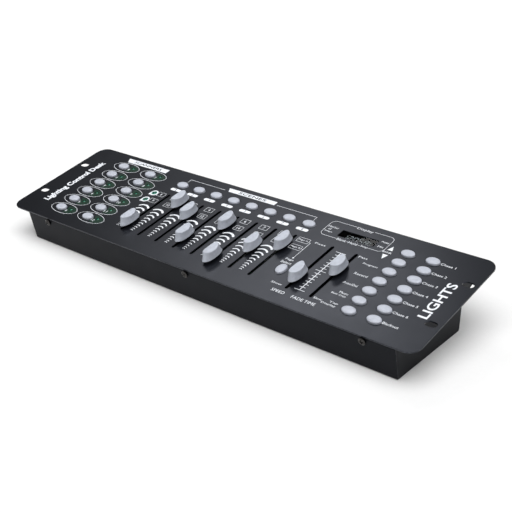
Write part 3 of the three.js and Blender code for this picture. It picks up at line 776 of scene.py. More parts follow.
def cross_screw(head_radius, head_height, shank_radius, length):
    """A pan-head screw with a cross recess: the head's top is a grid of rings, and its height is the dome
    head_height * (1 - 0.45 share^2) less the recess, which is deep where either arm of the cross runs."""
    sides = 48
    shares = np.concatenate([np.linspace(0.04, 0.62, 12), np.linspace(0.68, 1, 5)])
    spin = circle(sides)
    flat = shares[:, None, None] * spin * head_radius
    dome = head_height * (1 - 0.45 * shares[:, None] ** 2.4)
    near_arm = np.minimum(np.abs(flat[..., 0]), np.abs(flat[..., 1]))
    along_arm = np.abs(flat).max(-1)
    arm = np.clip((0.42 - near_arm) / 0.16, 0, 1) * np.clip((head_radius * 0.62 - along_arm) / 0.3, 0, 1)
    top = np.concatenate([flat, (dome - 0.9 * arm)[..., None]], -1)
    sides_down = turned_rings([(head_radius, 0.25), (head_radius * 0.95, 0), (shank_radius, 0),
                               (shank_radius, 0.6 - length), (shank_radius * 0.5, -length)], sides)
    return skin(np.concatenate([top, sides_down])[::-1])


def turned_rings(profile, sides):
    """The rings of a (radius, height) profile turned about z."""
    profile = np.asarray(profile, float)
    flat = profile[:, None, :1] * circle(sides)
    heights = np.broadcast_to(profile[:, None, 1:], (*flat.shape[:2], 1))
    return np.concatenate([flat, heights], -1)


class DESK_OT_screws(bpy.types.Operator):
    """Drive the case screws into the front wall and the rear riser"""
    bl_idname = "desk.screws"
    bl_label = "Case Screws"

    def execute(self, context):
        for label, x in zip(("left", "middle", "right"), SCREW_X):
            spin = Matrix.Rotation(math.radians(x * 7 % 90), 3, "Z")
            for side, seat in (("front", on_front), ("rear", on_riser)):
                screw = cross_screw(3.3, 2.0, 1.45, 7)
                screw.transform(spin.to_4x4())
                screw.transform(Matrix.Translation((0, 0, GAP if side == "front" else 0)))
                node = f"case_screw_{side}_{label}"
                stands_for = [node] if node in frame["nodes"] else []
                name = node if not stands_for else f"{node}_head"
                piece(name, [seat(screw, x)], finish("zinc"), stands_for=stands_for)
        return {"FINISHED"}


# ---------------------------------------------------------------- buttons, caps and lamps

class DESK_OT_buttons(bpy.types.Operator):
    """Mould a rubber button over each key: an oval dome with a collar under the panel and a stem"""
    bl_idname = "desk.buttons"
    bl_label = "Buttons"

    def execute(self, context):
        height = context.scene.desk_sizes.button_height / MM
        skirt = 0.35 * height
        share = np.concatenate([np.linspace(1, 0.86, 8), [0.8, 0.7, 0.55, 0.4, 0.25, 0.03]])
        dome = np.column_stack([share, skirt + (height - skirt) * (1 - share ** 5) ** 0.5])
        under = [(0.28, -7.9), (0.34, -7.7), (0.34, -3), (1.12, -3), (BUTTON_COLLAR, -2.9),
                 (BUTTON_COLLAR, -1.9), (1.14, -1.8), (1, -1.8), (0.985, -0.4)]
        profile = np.concatenate([under, dome])
        for node in BUTTONS:
            x, y, half_x, half_y = button_spot(node)
            key = turned(profile, half_x, half_y, (x, y), 56)
            piece(f"{node}_rubber", [key], finish("button"), BODY_OF[node], [node], 40)
        return {"FINISHED"}


def cap_outline(half_width, half_length, sides):
    """A leaf outline with softly pointed ends: y = half_length sin a, and x falls from half_width by
    (1 - |sin a| ^ 2.4) ^ 0.52. Its points pair up across x at equal y."""
    angle = np.linspace(-math.pi / 2, math.pi * 1.5, sides, endpoint=False)
    lengthwise = np.sin(angle)
    across = np.sign(np.cos(angle).round(9)) * (1 - np.abs(lengthwise) ** 2.4).clip(0) ** 0.52
    return np.column_stack([across * half_width, lengthwise * half_length])


def cap_top_height(y, half_length, top, dish, rib):
    """Height of the cap's top at y: a saddle that dips by dish at the middle, less the fine cross ribs."""
    share = np.clip(np.abs(y) / half_length, 0, 1)
    ribs = rib * (0.5 - 0.5 * np.cos(2 * math.pi * y / 1.5)) * np.clip((0.9 - share) / 0.1, 0, 1)
    return top - dish * (1 - share ** 2) - ribs


def fader_cap(x, y, sizes):
    """A fader cap: rings of the leaf outline climb from the rounded foot, drawing in and hollowing a little,
    to the top's rim; the top is a grid whose rows join the rim's paired points."""
    bottom, top = 2.4, 11.5
    foot = (5.45, 12.15)
    crest = (4.75, 9.2)
    sides = 132
    foot_rings = [(0.86, 0.0), (0.95, 0.12), (1.0, 0.5)]
    climb = np.linspace(0.1, 1, 9)
    rings = []
    for share, lift in foot_rings:
        outline = cap_outline(foot[0] * share, foot[1] * share, sides)
        rings.append(np.column_stack([outline, np.full(sides, bottom + lift)]))
    roll = 0.55
    turns = np.linspace(0.2, 1, 5) * math.pi / 2
    steps = [(step, 0, roll) for step in climb[1:]]
    steps += [(1, roll * (1 - math.cos(turn)), roll * (1 - math.sin(turn))) for turn in turns]
    for step, drawn, below in steps:
        hollow = 1 - 0.03 * math.sin(math.pi * step)
        half_width = (foot[0] + (crest[0] - foot[0]) * step) * hollow - drawn
        half_length = (foot[1] + (crest[1] - foot[1]) * step) * hollow - drawn
        outline = cap_outline(half_width, half_length, sides)
        rim = cap_top_height(outline[:, 1], half_length, top, sizes.cap_dish / MM, sizes.cap_rib / MM) - below
        rise = bottom + 0.5 + (rim - bottom - 0.5) * step
        rings.append(np.column_stack([outline, rise]))
    wall = np.array(rings)
    index = np.arange(wall.shape[0] * sides).reshape(-1, sides)
    ahead = np.roll(index, -1, axis=1)
    quads = np.stack([index[:-1], ahead[:-1], ahead[1:], index[1:]], -1).reshape(-1, 4)
    side_mesh = draft(wall.reshape(-1, 3) + (x, y, 0), quads.tolist() + [index[0, ::-1].tolist()])
    rim_ring = wall[-1]
    half = sides // 2
    right = rim_ring[1:half]
    left = rim_ring[:half:-1][:half - 1]
    across = np.linspace(0, 1, 9)[:, None, None]
    grid = left + (right - left) * across
    rows = grid.shape[1]
    cell = np.arange(grid.shape[0] * rows).reshape(-1, rows)
    top_quads = np.stack([cell[:-1, :-1], cell[1:, :-1], cell[1:, 1:], cell[:-1, 1:]], -1).reshape(-1, 4)
    points = np.concatenate([grid.reshape(-1, 3), rim_ring[[0, half]]]) + (x, y, 0)
    front, rear = len(points) - 2, len(points) - 1
    ends = [[front, *cell[::-1, 0].tolist()], [rear, *cell[:, -1].tolist()]]
    return [side_mesh, draft(points, top_quads.tolist() + ends)]


class DESK_OT_caps(bpy.types.Operator):
    """Fit a plastic cap and a steel lever to each fader"""
    bl_idname = "desk.caps"
    bl_label = "Fader Caps"

    def execute(self, context):
        for node in CAPS:
            x, y = middle(node)[:2]
            body = BODY_OF[node]
            name = node.replace("_cap", "")
            moulding = fader_cap(x, y, context.scene.desk_sizes)
            piece(f"{name}_cap_moulding", moulding, finish("cap"), body, [node], 38)
            lever = pillow(x, y, 1.6, 4.6, -9, 5, 0.3, 0.2)
            piece(f"{name}_lever", [lever], finish("steel"), body)
        return {"FINISHED"}


class DESK_OT_lamps(bpy.types.Operator):
    """Stand the green indicator lamps in their holes"""
    bl_idname = "desk.lamps"
    bl_label = "Lamps"

    def execute(self, context):
        angle = np.linspace(0, math.pi / 2, 8)
        crown = np.column_stack([np.cos(angle), 0.1 - 1.2 * (1 - np.sin(angle))])
        crown[-1, 0] = 0.04
        foot = [(1.15, BOARD_TOP + 0.2), (1.15, BOARD_TOP + 1.2), (1, BOARD_TOP + 1.2)]
        profile = np.concatenate([foot, crown])
        names = [node.replace("button", "lamp") for node in SCANNER_BUTTONS] + ["page_lamp_a", "page_lamp_b"]
        for name, spot in zip(names, lamp_spots()):
            lens = turned(profile, 1.5, 1.5, spot, 32)
            piece(name, [lens], finish("lamp"))
        return {"FINISHED"}


# ---------------------------------------------------------------- boards and display

class DESK_OT_boards(bpy.types.Operator):
    """Hang the three circuit boards with their key switches and fader bodies"""
    bl_idname = "desk.boards"
    bl_label = "Circuit Boards"

    def execute(self, context):
        spans = {"scanner_board": (-208, -122), "fader_board": (-119.5, 152), "program_board": (155, 206)}
        keys = np.array([button_spot(node)[:2] for node in BUTTONS])
        stems = np.concatenate([FADER_X, [SPEED_X, FADE_X]])
        foot = BOARD_TOP - 0.05
        for node, (left, right) in spans.items():
            outline = rounded((left + right) / 2, -4, right - left, 112, 1, 3)
            board = plate([outline], BOARD_TOP - BOARD_THICKNESS, BOARD_TOP, 0.1)
            piece(f"{node}_sheet", [board], finish("board"), stands_for=[node])
            inside = (keys[:, 0] > left) & (keys[:, 0] < right)
            cases = [pillow(x, y, 6, 6, foot, BOARD_TOP + 3.5, 0.3, 0.15, 1) for x, y in keys[inside]]
            plungers = [turned([(1, BOARD_TOP + 3), (1, BOARD_TOP + 3.85), (0.9, BOARD_TOP + 4)], 1.75, 1.75,
                               spot, 20) for spot in keys[inside]]
            piece(f"{node}_switches", cases + plungers, finish("switch"))
            tracks = stems[(stems > left) & (stems < right)]
            if len(tracks):
                parts = []
                for x in tracks:
                    parts.append(pillow(x, FADER_SLOT_Y, 9, 88, foot, BOARD_TOP + 2, 0.4, 0.2, 1))
                    outer = rounded(x, FADER_SLOT_Y, 9, 88, 0.4, 3)
                    groove = rounded(x, FADER_SLOT_Y, 3.4, 70, 0.5, 3)
                    parts.append(plate([outer, groove], BOARD_TOP + 1.95, BOARD_TOP + 7, 0.2))
                piece("fader_bodies", parts, finish("steel"))
        return {"FINISHED"}


SEGMENTS = {
    "top": (0, 1, 0), "middle": (0, 0, 0), "bottom": (0, -1, 0),
    "upper_right": (0.5, 0.5, 1), "lower_right": (0.5, -0.5, 1),
    "upper_left": (-0.5, 0.5, 1), "lower_left": (-0.5, -0.5, 1),
}
DIGITS = {
    "0": "top bottom upper_right lower_right upper_left lower_left",
    "1": "upper_right lower_right",
    "2": "top middle bottom upper_right lower_left",
    "5": "top middle bottom upper_left lower_right",
    "8": "top middle bottom upper_right lower_right upper_left lower_left",
}


def digit_shapes(digit, x, y, width, height):
    """The lit segments of one digit, leaning a little: six-cornered bars that stop short of one another."""
    bar = 0.16 * width
    shapes = []
    for name in DIGITS[digit].split():
        across, up, upright = SEGMENTS[name]
        run = (height / 2 if upright else width) / 2 - bar * 0.62
        point = np.array([[-run, 0], [-run + bar / 2, bar / 2], [run - bar / 2, bar / 2], [run, 0],
                          [run - bar / 2, -bar / 2], [-run + bar / 2, -bar / 2]])
        if upright:
            point = point[:, ::-1]
        point = point + (across * width, up * height / 2)
        lean = point[:, 1] * 0.1
        shapes.append([np.column_stack([point[:, 0] + lean + x, point[:, 1] + y])])
    return shapes


class DESK_OT_display(bpy.types.Operator):
    """Fit the smoked window and the display module with its digits"""
    bl_idname = "desk.display"
    bl_label = "Display"

    def execute(self, context):
        text = context.scene.desk_words.display
        if any(digit not in DIGITS for digit in text):
            raise ValueError(f"the display shows only the digits {''.join(DIGITS)}")
        steps = [(1.5, 1.5, -2.8), (1.8, 1.8, -2.7), (1.8, 1.8, -1.9), (1.7, 1.7, -1.8), (-GAP, -GAP, -1.8),
                 (-GAP, -GAP, -0.65), (-GAP - 0.15, -GAP - 0.15, -0.5)]
        rings = []
        for grow_x, grow_y, z in steps:
            ring = rounded(WINDOW_X, WINDOW_Y, WINDOW_WIDTH + 2 * grow_x, WINDOW_DEPTH + 2 * grow_y, 0.5, 3)
            rings.append(np.column_stack([ring, np.full(len(ring), z)]))
        piece("window_pane", [skin(np.array(rings))], finish("window"),
              stands_for=["display_window"], sharp=30)
        top = -3.15
        body = pillow(WINDOW_X, WINDOW_Y, 30.2, 12.8, -9.5, top, 0.5, 0.2)
        pins = [turned([(1, BOARD_TOP + 0.3), (1, -9.4)], 0.3, 0.3, (WINDOW_X + x * 2.54, WINDOW_Y + y), 6)
                for x in range(-5, 6) for y in (-5.08, 5.08)]
        piece("display_body", [body] + pins, finish("module"), stands_for=["display_module"])
        width, height = 3.4, 5.8
        pitch = 5.6
        first = WINDOW_X - pitch * (len(text) - 1) / 2
        shapes = []
        for index, digit in enumerate(text):
            shapes += digit_shapes(digit, first + index * pitch, WINDOW_Y, width, height)
        dot_radius, dot_gap, dot_rise = 0.5, 0.9, 1.5
        beside = pitch * len(text) / 2 + dot_gap
        for side in (-beside, beside):
            for rise in (-dot_rise, dot_rise):
                shapes.append([oval(WINDOW_X + side, WINDOW_Y + rise, dot_radius, dot_radius, 20)])
        lit = meshes_from([plate_curve(shape, top - 0.03, top + 0.05) for shape in shapes])
        piece("display_digits", lit, finish("digits"))
        return {"FINISHED"}


# ---------------------------------------------------------------- rear sockets

def cup(radius, depth, mouth, mouth_depth, face, sides=64):
    """A round socket shell, open outwards: the profile climbs its outside, rolls over the lip and runs down
    to the floor of the mouth."""
    profile = [(radius * 0.9, -depth), (radius, -depth + 0.6), (radius, face - 0.3), (radius - 0.3, face),
               (mouth + 0.3, face), (mouth, face - 0.3), (mouth, -mouth_depth)]
    return turned(profile, 1, 1, (0, 0), sides)


def contact_tube(x, y, radius, bottom, top):
    """One sprung contact: a thin tube, open at the top."""
    profile = [(radius, bottom), (radius, top - 0.05), (radius - 0.05, top), (radius * 0.6, top),
               (radius * 0.6, bottom + 0.4)]
    return turned(profile, 1, 1, (x, y), 20)


def seat_all(node, material, meshes, name, stands_for=(), sharp=30.0):
    x = middle(node)[0]
    seated = [on_wall(mesh, x) for mesh in meshes]
    piece(name, seated, finish(material), BODY_OF[node], stands_for, sharp)


class DESK_OT_sockets(bpy.types.Operator):
    """Fit the sockets into the rear wall"""
    bl_idname = "desk.sockets"
    bl_label = "Rear Sockets"

    def execute(self, context):
        face = GAP + 2
        contacts = [(-4, 1.6), (4, 1.6), (0, -4)]
        flange = plate([rounded(0, 0, 31, 25, 2.5), oval(0, 0, 9.6, 9.6)], GAP, face, 0.3)
        shell = cup(11.6, 20, 9.6, 9, GAP + 0.2)
        holes = [oval(x, y, 1.2, 1.2, 24) for x, y in contacts]
        insert = plate([oval(0, 0, 7.7, 7.7)] + holes, -9.05, face - 1, 0.2)
        key = pillow(0, 8.3, 3, 2, -9.05, face - 1.5, 0.3, 0.2)
        parts = [flange, shell, insert, key]
        seat_all("signal_socket", "socket", parts, "signal_socket_shell", ["signal_socket"])
        tubes = [contact_tube(x, y, 1.1, -8.9, 0.2) for x, y in contacts]
        seat_all("signal_socket", "nickel", tubes, "signal_socket_contacts")

        face = GAP + 1.6
        angle = np.linspace(0, math.pi, 5)
        pins = np.column_stack([5 * np.cos(angle), 1.5 - 5 * np.sin(angle)])
        flange = plate([rounded(0, 0, 27, 19, 2), oval(0, 0, 7.2, 7.2)], GAP, face, 0.3)
        shell = cup(8.2, 12, 7.2, 6, GAP + 0.2)
        holes = [oval(x, y, 0.8, 0.8, 16) for x, y in pins]
        insert = plate([oval(0, 0, 7.25, 7.25)] + holes, -6.05, face - 1, 0.15)
        seat_all("midi_socket", "socket", [flange, shell, insert], "midi_socket_shell",
                 ["midi_socket"])
        tubes = [contact_tube(x, y, 0.7, -5.9, 0.2) for x, y in pins]
        seat_all("midi_socket", "nickel", tubes, "midi_socket_contacts")

        face = GAP + 2
        corners = circle(6) * 6.2
        nut = plate([corners, oval(0, 0, 3.7, 3.7)], GAP, face, 0.25)
        seat_all("dc_power_socket", "nickel", [nut], "dc_power_socket_nut")
        barrel = cup(3.9, 11, 2.9, 9, face + 0.8, 40)
        seat_all("dc_power_socket", "socket", [barrel], "dc_power_socket_barrel",
                 ["dc_power_socket"])
        pin = turned([(1, -9.05), (1, face - 0.6), (0.7, face - 0.2), (0.3, face)], 1, 1, (0, 0), 20)
        seat_all("dc_power_socket", "nickel", [pin], "dc_power_socket_pin")
        return {"FINISHED"}


class DESK_OT_power_switch(bpy.types.Operator):
    """Fit the power switch: its frame and the rocker"""
    bl_idname = "desk.power_switch"
    bl_label = "Power Switch"

    def execute(self, context):
        face = GAP + 2
        pocket = rounded(0, 0, 17.2, 11, 0.6, 4)
        bezel = plate([rounded(0, 0, 21, 15, 1.6), pocket], GAP, face, 0.5)
        sleeve = plate([rounded(0, 0, 19, 12.8, 0.8, 4), pocket], -8.05, GAP + 0.1, 0.1)
        block = pillow(0, 0, 19, 12.8, -12, -8, 0.8, 0.3)
        seat_all("power_switch_housing", "socket", [bezel, sleeve, block],
                 "power_switch_frame", ["power_switch_housing"])

        radius, half = 8.1, 5.2
        round_end = np.radians(np.linspace(-14, 32, 9))
        right = np.column_stack([radius * np.cos(round_end), radius * np.sin(round_end)])
        start, end = right[-1], np.array([0, 3.3])
        share = np.linspace(0, 1, 10)[1:, None]
        slope = start + (end - start) * share
        slope[:, 1] -= 0.55 * np.sin(math.pi * share[:, 0]) * (1 - share[:, 0])
        upper = np.concatenate([right, slope])
        outline = np.concatenate([upper, upper[-2::-1] * (-1, 1), [(0, -4.2)]])
        rocker = plate([outline], -half, half, 0.35)
        tilt = math.radians(10)
        axes = (math.cos(tilt), 0, -math.sin(tilt)), (math.sin(tilt), 0, math.cos(tilt)), (0, -1, 0)
        swing(rocker, (0, 0, -1), *axes)
        seat_all("power_switch_rocker", "switch", [rocker], "power_rocker_key",
                 ["power_switch_rocker"], 22)
        return {"FINISHED"}


# ---------------------------------------------------------------- legends

INK = (-0.02, 0.05)
OVERPRINT = (0.0, 0.08)


class Sheet:
    """Collects the shapes and words of one legend so that all of its curves are evaluated together."""

    def __init__(self, heights=INK):
        self.bottom, self.top = heights
        self.curves = []
        self.words = []

    def add(self, *loops):
        """One inked shape: its outline, then any holes."""
        self.curves.append(plate_curve(loops, self.bottom, self.top))

    def line(self, points, width):
        """A line of even width through points, mitred at its corners."""
        points = np.asarray(points, float)
        left = inset_line(points, width / 2)
        right = inset_line(points, -width / 2)
        self.add(np.concatenate([left, right[::-1]]))

    def frame(self, x, y, width, depth, corner, line):
        """The outline of a rounded rectangle."""
        inner = rounded(x, y, width - line, depth - line, max(corner - line / 2, 0.05))
        self.add(rounded(x, y, width + line, depth + line, corner + line / 2), inner)

    def ring(self, x, y, half_x, half_y, line):
        """The outline of an ellipse."""
        grow = line / 2
        self.add(oval(x, y, half_x + grow, half_y + grow, 64), oval(x, y, half_x - grow, half_y - grow, 64))

    def write(self, text, x, y, width, height, turn=0.0, bold=0.0):
        """Words fitted to a width and height about a middle, turned by an angle in degrees."""
        letters = bpy.data.curves.new("draft", "FONT")
        letters.body = text
        letters.resolution_u = 3
        letters.extrude = (self.top - self.bottom) / 2
        letters.offset = bold
        letters.align_x = "CENTER"
        self.words.append((letters, x, y, width, height, math.radians(turn)))

    def meshes(self):
        """Every shape and word as loose meshes; words are stretched to their box and turned."""
        height = (self.bottom + self.top) / 2
        made = meshes_from(self.curves + [(entry[0], height) for entry in self.words])
        for mesh, (_, x, y, width, tall, turn) in zip(made[len(self.curves):], self.words):
            points = read_points(mesh)
            low, high = points.min(0)[:2], points.max(0)[:2]
            flat = (points[:, :2] - (low + high) / 2) / (high - low) * (width, tall)
            cos, sin = math.cos(turn), math.sin(turn)
            points[:, 0] = flat[:, 0] * cos - flat[:, 1] * sin + x
            points[:, 1] = flat[:, 0] * sin + flat[:, 1] * cos + y
            mesh.vertices.foreach_set("co", points.ravel())
        return made

    def print_as(self, name, ink):
        """Makes the sheet one named piece in one ink."""
        piece(name, self.meshes(), finish(ink), sharp=30)


def tapered_bar(left, right, bottom, top, slant):
    """A solid bar whose left end leans back by slant."""
    return np.array([(left + slant, bottom), (right, bottom), (right, top), (left, top)])


class DESK_OT_scanner_legend(bpy.types.Operator):
    """Print the ovals, numbers and heading of the scanner buttons"""
    bl_idname = "desk.scanner_legend"
    bl_label = "Scanner Legend"

    def execute(self, context):
        words = context.scene.desk_words
        white, green, dark = Sheet(), Sheet((-0.02, 0.03)), Sheet(OVERPRINT)
        spots = sorted(map(button_spot, SCANNER_BUTTONS), key=lambda spot: (round(spot[0]), -spot[1]))
        for number, (x, y) in enumerate([spot[:2] for spot in spots], 1):
            oval_x, oval_y = x + 3.9, y + 0.1
            white.ring(oval_x, oval_y, 17.6, 8.0, 0.42)
            bend = np.radians(np.linspace(-52, 52, 25))
            right = np.column_stack([oval_x + 16.9 * np.cos(bend), oval_y + 7.3 * np.sin(bend)])
            hollow = np.radians(np.linspace(38, -38, 13))
            left = np.column_stack([x + 8.2 * np.cos(hollow), y + 9 * np.sin(hollow)])
            lamp_x, lamp_y = np.array([x, y]) + SCANNER_LAMP
            lamp_hole = oval(lamp_x, lamp_y, LAMP_HOLE_RADIUS, LAMP_HOLE_RADIUS, 24)
            green.add(np.concatenate([right, left]), lamp_hole)
            wide = 2.2 if number < 10 else 3.9
            white.write(str(number), x + 9.2, y - 2.0, wide if number != 1 else 1.2, 3.0)
        white.add(tapered_bar(-193.6, -133.4, 53.6, 60.2, 3.4))
        dark.write(words.scanner_heading, -162.4, 56.9, 40, 3.6, bold=0.01)
        white.print_as("legend_scanners", "white ink")
        green.print_as("legend_scanner_fields", "green ink")
        dark.print_as("legend_scanner_heading", "dark ink")
        return {"FINISHED"}


class DESK_OT_scene_legend(bpy.types.Operator):
    """Print the scene heading, its bracket and the numbered pills over the faders"""
    bl_idname = "desk.scene_legend"
    bl_label = "Scene Legend"

    def execute(self, context):
        words = context.scene.desk_words
        white, dark = Sheet(), Sheet(OVERPRINT)
        white.add(tapered_bar(-49.6, 11.2, 54.4, 60.2, 3.0))
        dark.write(words.scene_heading, -18, 57.3, 34, 3.4, bold=0.01)
        left, right, foot, bar = -98.2, 61.6, 49.6, 55.4
        white.line([(left, foot), (left, bar), (-52, bar)], 0.4)
        white.line([(14, bar), (right, bar), (right, foot)], 0.4)
        for number, x in enumerate(FADER_X, 1):
            pill_x, pill_y = x - 1.0, 33.2
            white.add(rounded(pill_x, pill_y, 13.6, 4.0, 1.98, 6))
            dark.write(str(number), pill_x, pill_y, 1.0 if number == 1 else 1.8, 2.8)
        white.print_as("legend_scenes", "white ink")
        dark.print_as("legend_scene_numbers", "dark ink")
        return {"FINISHED"}


def crescent(x, y, width, steps=14):
    """A thick arc open to the front, its ends round and its right end the heavier: a circular arc of half
    angle 50 degrees whose width grows evenly from left to right."""
    half = math.radians(50)
    radius = width / 2 / math.sin(half)
    angle = math.pi / 2 + np.linspace(half, -half, steps)
    spoke = np.column_stack([np.cos(angle), np.sin(angle)])
    centre = np.array([x, y - radius * math.cos(half)])
    heavy = (0.2 + width * np.linspace(0.1, 0.18, steps)) / 2
    outer = centre + spoke * (radius + heavy)[:, None]
    inner = centre + spoke * (radius - heavy)[:, None]
    tip = np.linspace(0, math.pi, 7)[1:-1]
    caps = []
    for end, ahead in ((-1, 1), (0, -1)):
        along = np.array([spoke[end, 1], -spoke[end, 0]]) * ahead
        across = spoke[end] * ahead
        middle_of_end = centre + spoke[end] * radius
        round_end = np.cos(tip)[:, None] * across + np.sin(tip)[:, None] * along
        caps.append(middle_of_end + heavy[end] * round_end)
    return np.concatenate([outer, caps[0], inner[::-1], caps[1]])


class DESK_OT_fader_legend(bpy.types.Operator):
    """Print the boxes, level marks, page marks and the time scale of the faders"""
    bl_idname = "desk.fader_legend"
    bl_label = "Fader Legend"

    def execute(self, context):
        words = context.scene.desk_words
        white, teal = Sheet(), Sheet(OVERPRINT)
        levels = np.arange(10)
        widest, shrink = 12.2, 0.84
        widths = widest * shrink ** levels
        rear_row, row_pitch, closing, sag = -2.4, 6.3, 0.22, 0.235
        rows = rear_row - row_pitch * levels + closing * levels ** 2 - sag * widths
        for index, x in enumerate(FADER_X):
            upper = (x - 11.6, 19.3) if index else (-106.7, 19.6)
            lower = (x - 10.5, 7.6) if index else (-106.3, 7.4)
            for (box_x, box_y), number in ((upper, index + 1), (lower, index + 9)):
                white.frame(box_x, box_y, 9.2, 6.6, 0.5, 0.32)
                wide = {1: 0.9, 11: 2.3}.get(number, 2.1 if number < 10 else 3.8)
                white.write(str(number), box_x, box_y, wide, 3.3)
            left = x - 11.9 if index else -107
            for width, row in zip(widths, rows):
                white.add(crescent(left, row, width))
        drop_radius = 4.45
        clear_radius = LAMP_HOLE_RADIUS + 0.2
        for x, y in PAGE_LAMPS:
            bend = np.radians(np.linspace(-90, 180, 28))
            drop = np.column_stack([x + drop_radius * np.cos(bend), y + drop_radius * np.sin(bend)])
            corner = np.array([(x - drop_radius, y - drop_radius)])
            hole = oval(x, y, clear_radius, clear_radius, 24)
            white.add(np.concatenate([drop, corner]), hole)
            teal.ring(x, y, 2.5, 2.5, 0.9)
        scale_x, scale_front, scale_rear, tick_pitch = 115, -41.8, 17.9, 4.265
        for tick in range(15):
            reach = 5.2 if tick % 7 == 0 else 3.1
            y = scale_front + tick_pitch * tick
            white.line([(scale_x - reach, y), (scale_x + reach, y)], 0.5)
        white.line([(scale_x, scale_front), (scale_x, scale_rear)], 0.7)
        labels = [
            (words.speed, 99.9, -51.7, 13.6, 3.4), (words.slow, 91.8, -43.3, 11.5, 2.2),
            (words.fast, 90.9, 20.9, 11.5, 2.2), (words.fade, 126.7, -52.2, 24.3, 3.4),
            (words.slow, 135.8, -44.2, 8.8, 2.2), (words.fast, 136.3, 21, 9, 2.2)]
        for text, x, y, width, height in labels:
            white.write(text, x, y, width, height)
        white.print_as("legend_faders", "white ink")
        teal.print_as("legend_page_rings", "teal ink")
        return {"FINISHED"}


class DESK_OT_program_legend(bpy.types.Operator):
    """Print the words and marks about the display, the page button and the programming buttons"""
    bl_idname = "desk.program_legend"
    bl_label = "Program Legend"

    def execute(self, context):
        words = context.scene.desk_words
        white = Sheet()
        self.page_marks(white)
        self.display_marks(white, words)
        self.column_words(white)
        white.print_as("legend_programs", "white ink")
        return {"FINISHED"}

    def page_marks(self, white):
        """The words under the page button and the bracket that leads to the two page labels."""
        white.write("Page", 80.5, -10.7, 8.4, 3.0)
        white.write("Select", 80.5, -15.4, 11, 3.0)
        white.add(oval(81.7, -7.1, 0.9, 0.9, 20))
        white.line([(81.7, -7.1), (81.7, 18.2), (79.9, 18.2)], 0.4)
        white.line([(81.5, 7.2), (79.9, 7.2)], 0.4)
        for label, row in (("Page A", 19.0), ("Page B", 7.3)):
            white.frame(73.1, row, 12.4, 6.6, 0.6, 0.32)
            white.write(label, 73.1, row, 10, 2.4)

    def display_marks(self, white, words):
        """The rounded frame round the window, broken by its heading and by three words along the front."""
        left, right, front, rear, corner = 78.8, 145.6, 35.0, 58.4, 5.0
        angle = np.linspace(0, math.pi / 2, 7)
        bend = np.column_stack([1 - np.cos(angle), np.sin(angle)]) * corner
        gaps = [(98.0, 109.2), (110.3, 120.9), (122.9, 132.1)]
        top_gap = (104.5, 123.5)
        lower_left = np.array([(left, front + corner)]) + (bend * (1, -1))
        lower_right = np.array([(right, front + corner)]) + (bend * (-1, -1))
        upper_left = np.array([(left, rear - corner)]) + bend
        upper_right = np.array([(right, rear - corner)]) + (bend * (-1, 1))
        line = 0.36
        left_run = [[(gaps[0][0], front)], lower_left[::-1], upper_left, [(top_gap[0], rear)]]
        right_run = [[(top_gap[1], rear)], upper_right[::-1], lower_right, [(gaps[2][1], front)]]
        for run in (left_run, right_run):
            white.line(np.concatenate(run), line)
        white.line([(gaps[0][1], front), (gaps[1][0], front)], line)
        white.line([(gaps[1][1], front), (gaps[2][0], front)], line)
        white.write(words.display_heading, 114, 57.2, 17, 3.8)
        labels = [
            ("Number", 85.5, 49, 11.0, 2.5), ("of", 83.6, 45.2, 3.6, 2.3), ("Steps", 84.4, 41.4, 8.7, 2.5),
            ("Auto", 140.4, 49.3, 7.8, 2.4), ("Mic", 140.4, 41.7, 5.8, 2.4)]
        for text, x, y, width, height in labels:
            white.write(text, x, y, width, height)
        for text, (low, high) in zip(("Blank", "Hold", "Step"), gaps):
            white.write(text, (low + high) / 2, front, high - low - 1.4, 3.0)

    def column_words(self, white):
        """The bank arrows, and the words beside the program, chase and blackout buttons."""
        white.add(np.array([(147.8, 40.6), (152.9, 40.6), (150.4, 46.9)]))
        white.add(np.array([(147.6, 33.9), (150.6, 27.1), (153.1, 33.9)]))
        white.write("BANK", 149.9, 37.3, 9, 2.4)
        rear_row, row_pitch = 42.6, 14.7
        words_right, words_left = 155, 199
        rows = rear_row - row_pitch * np.arange(7)
        for text, width, row in zip(("Program", "Record", "Auto/Del"), (14.5, 13, 14), rows[2:5]):
            white.write(text, words_right - width / 2, row + 1, width, 2.8)
        for first, second, row in (("Music", "Bank Copy", rows[5]), ("Tap", "Display", rows[6])):
            white.write(first, words_right - 4.4, row + 2.8, 8.6, 2.6)
            white.write(second, words_right - 7.2, row - 1.0, 14.4, 2.6)
        for number, row in enumerate(rows[:6], 1):
            white.write(f"Chase {number}", words_left + 7, row + 0.7, 14, 2.8)
        white.write("Blackout", words_left + 7.3, rows[6] + 0.7, 14.6, 2.8)


class DESK_OT_titles(bpy.types.Operator):
    """Print the titles that run up both ends of the panel"""
    bl_idname = "desk.titles"
    bl_label = "Titles"

    def execute(self, context):
        words = context.scene.desk_words
        white = Sheet()
        white.write(words.right_title, 222.4, -0.7, 49.4, 9.1, 90, 0.018)
        white.write(words.left_title, -214.2, -0.5, 83, 10, 90, 0.04)
        white.print_as("legend_titles", "white ink")
        return {"FINISHED"}


# ---------------------------------------------------------------- stage

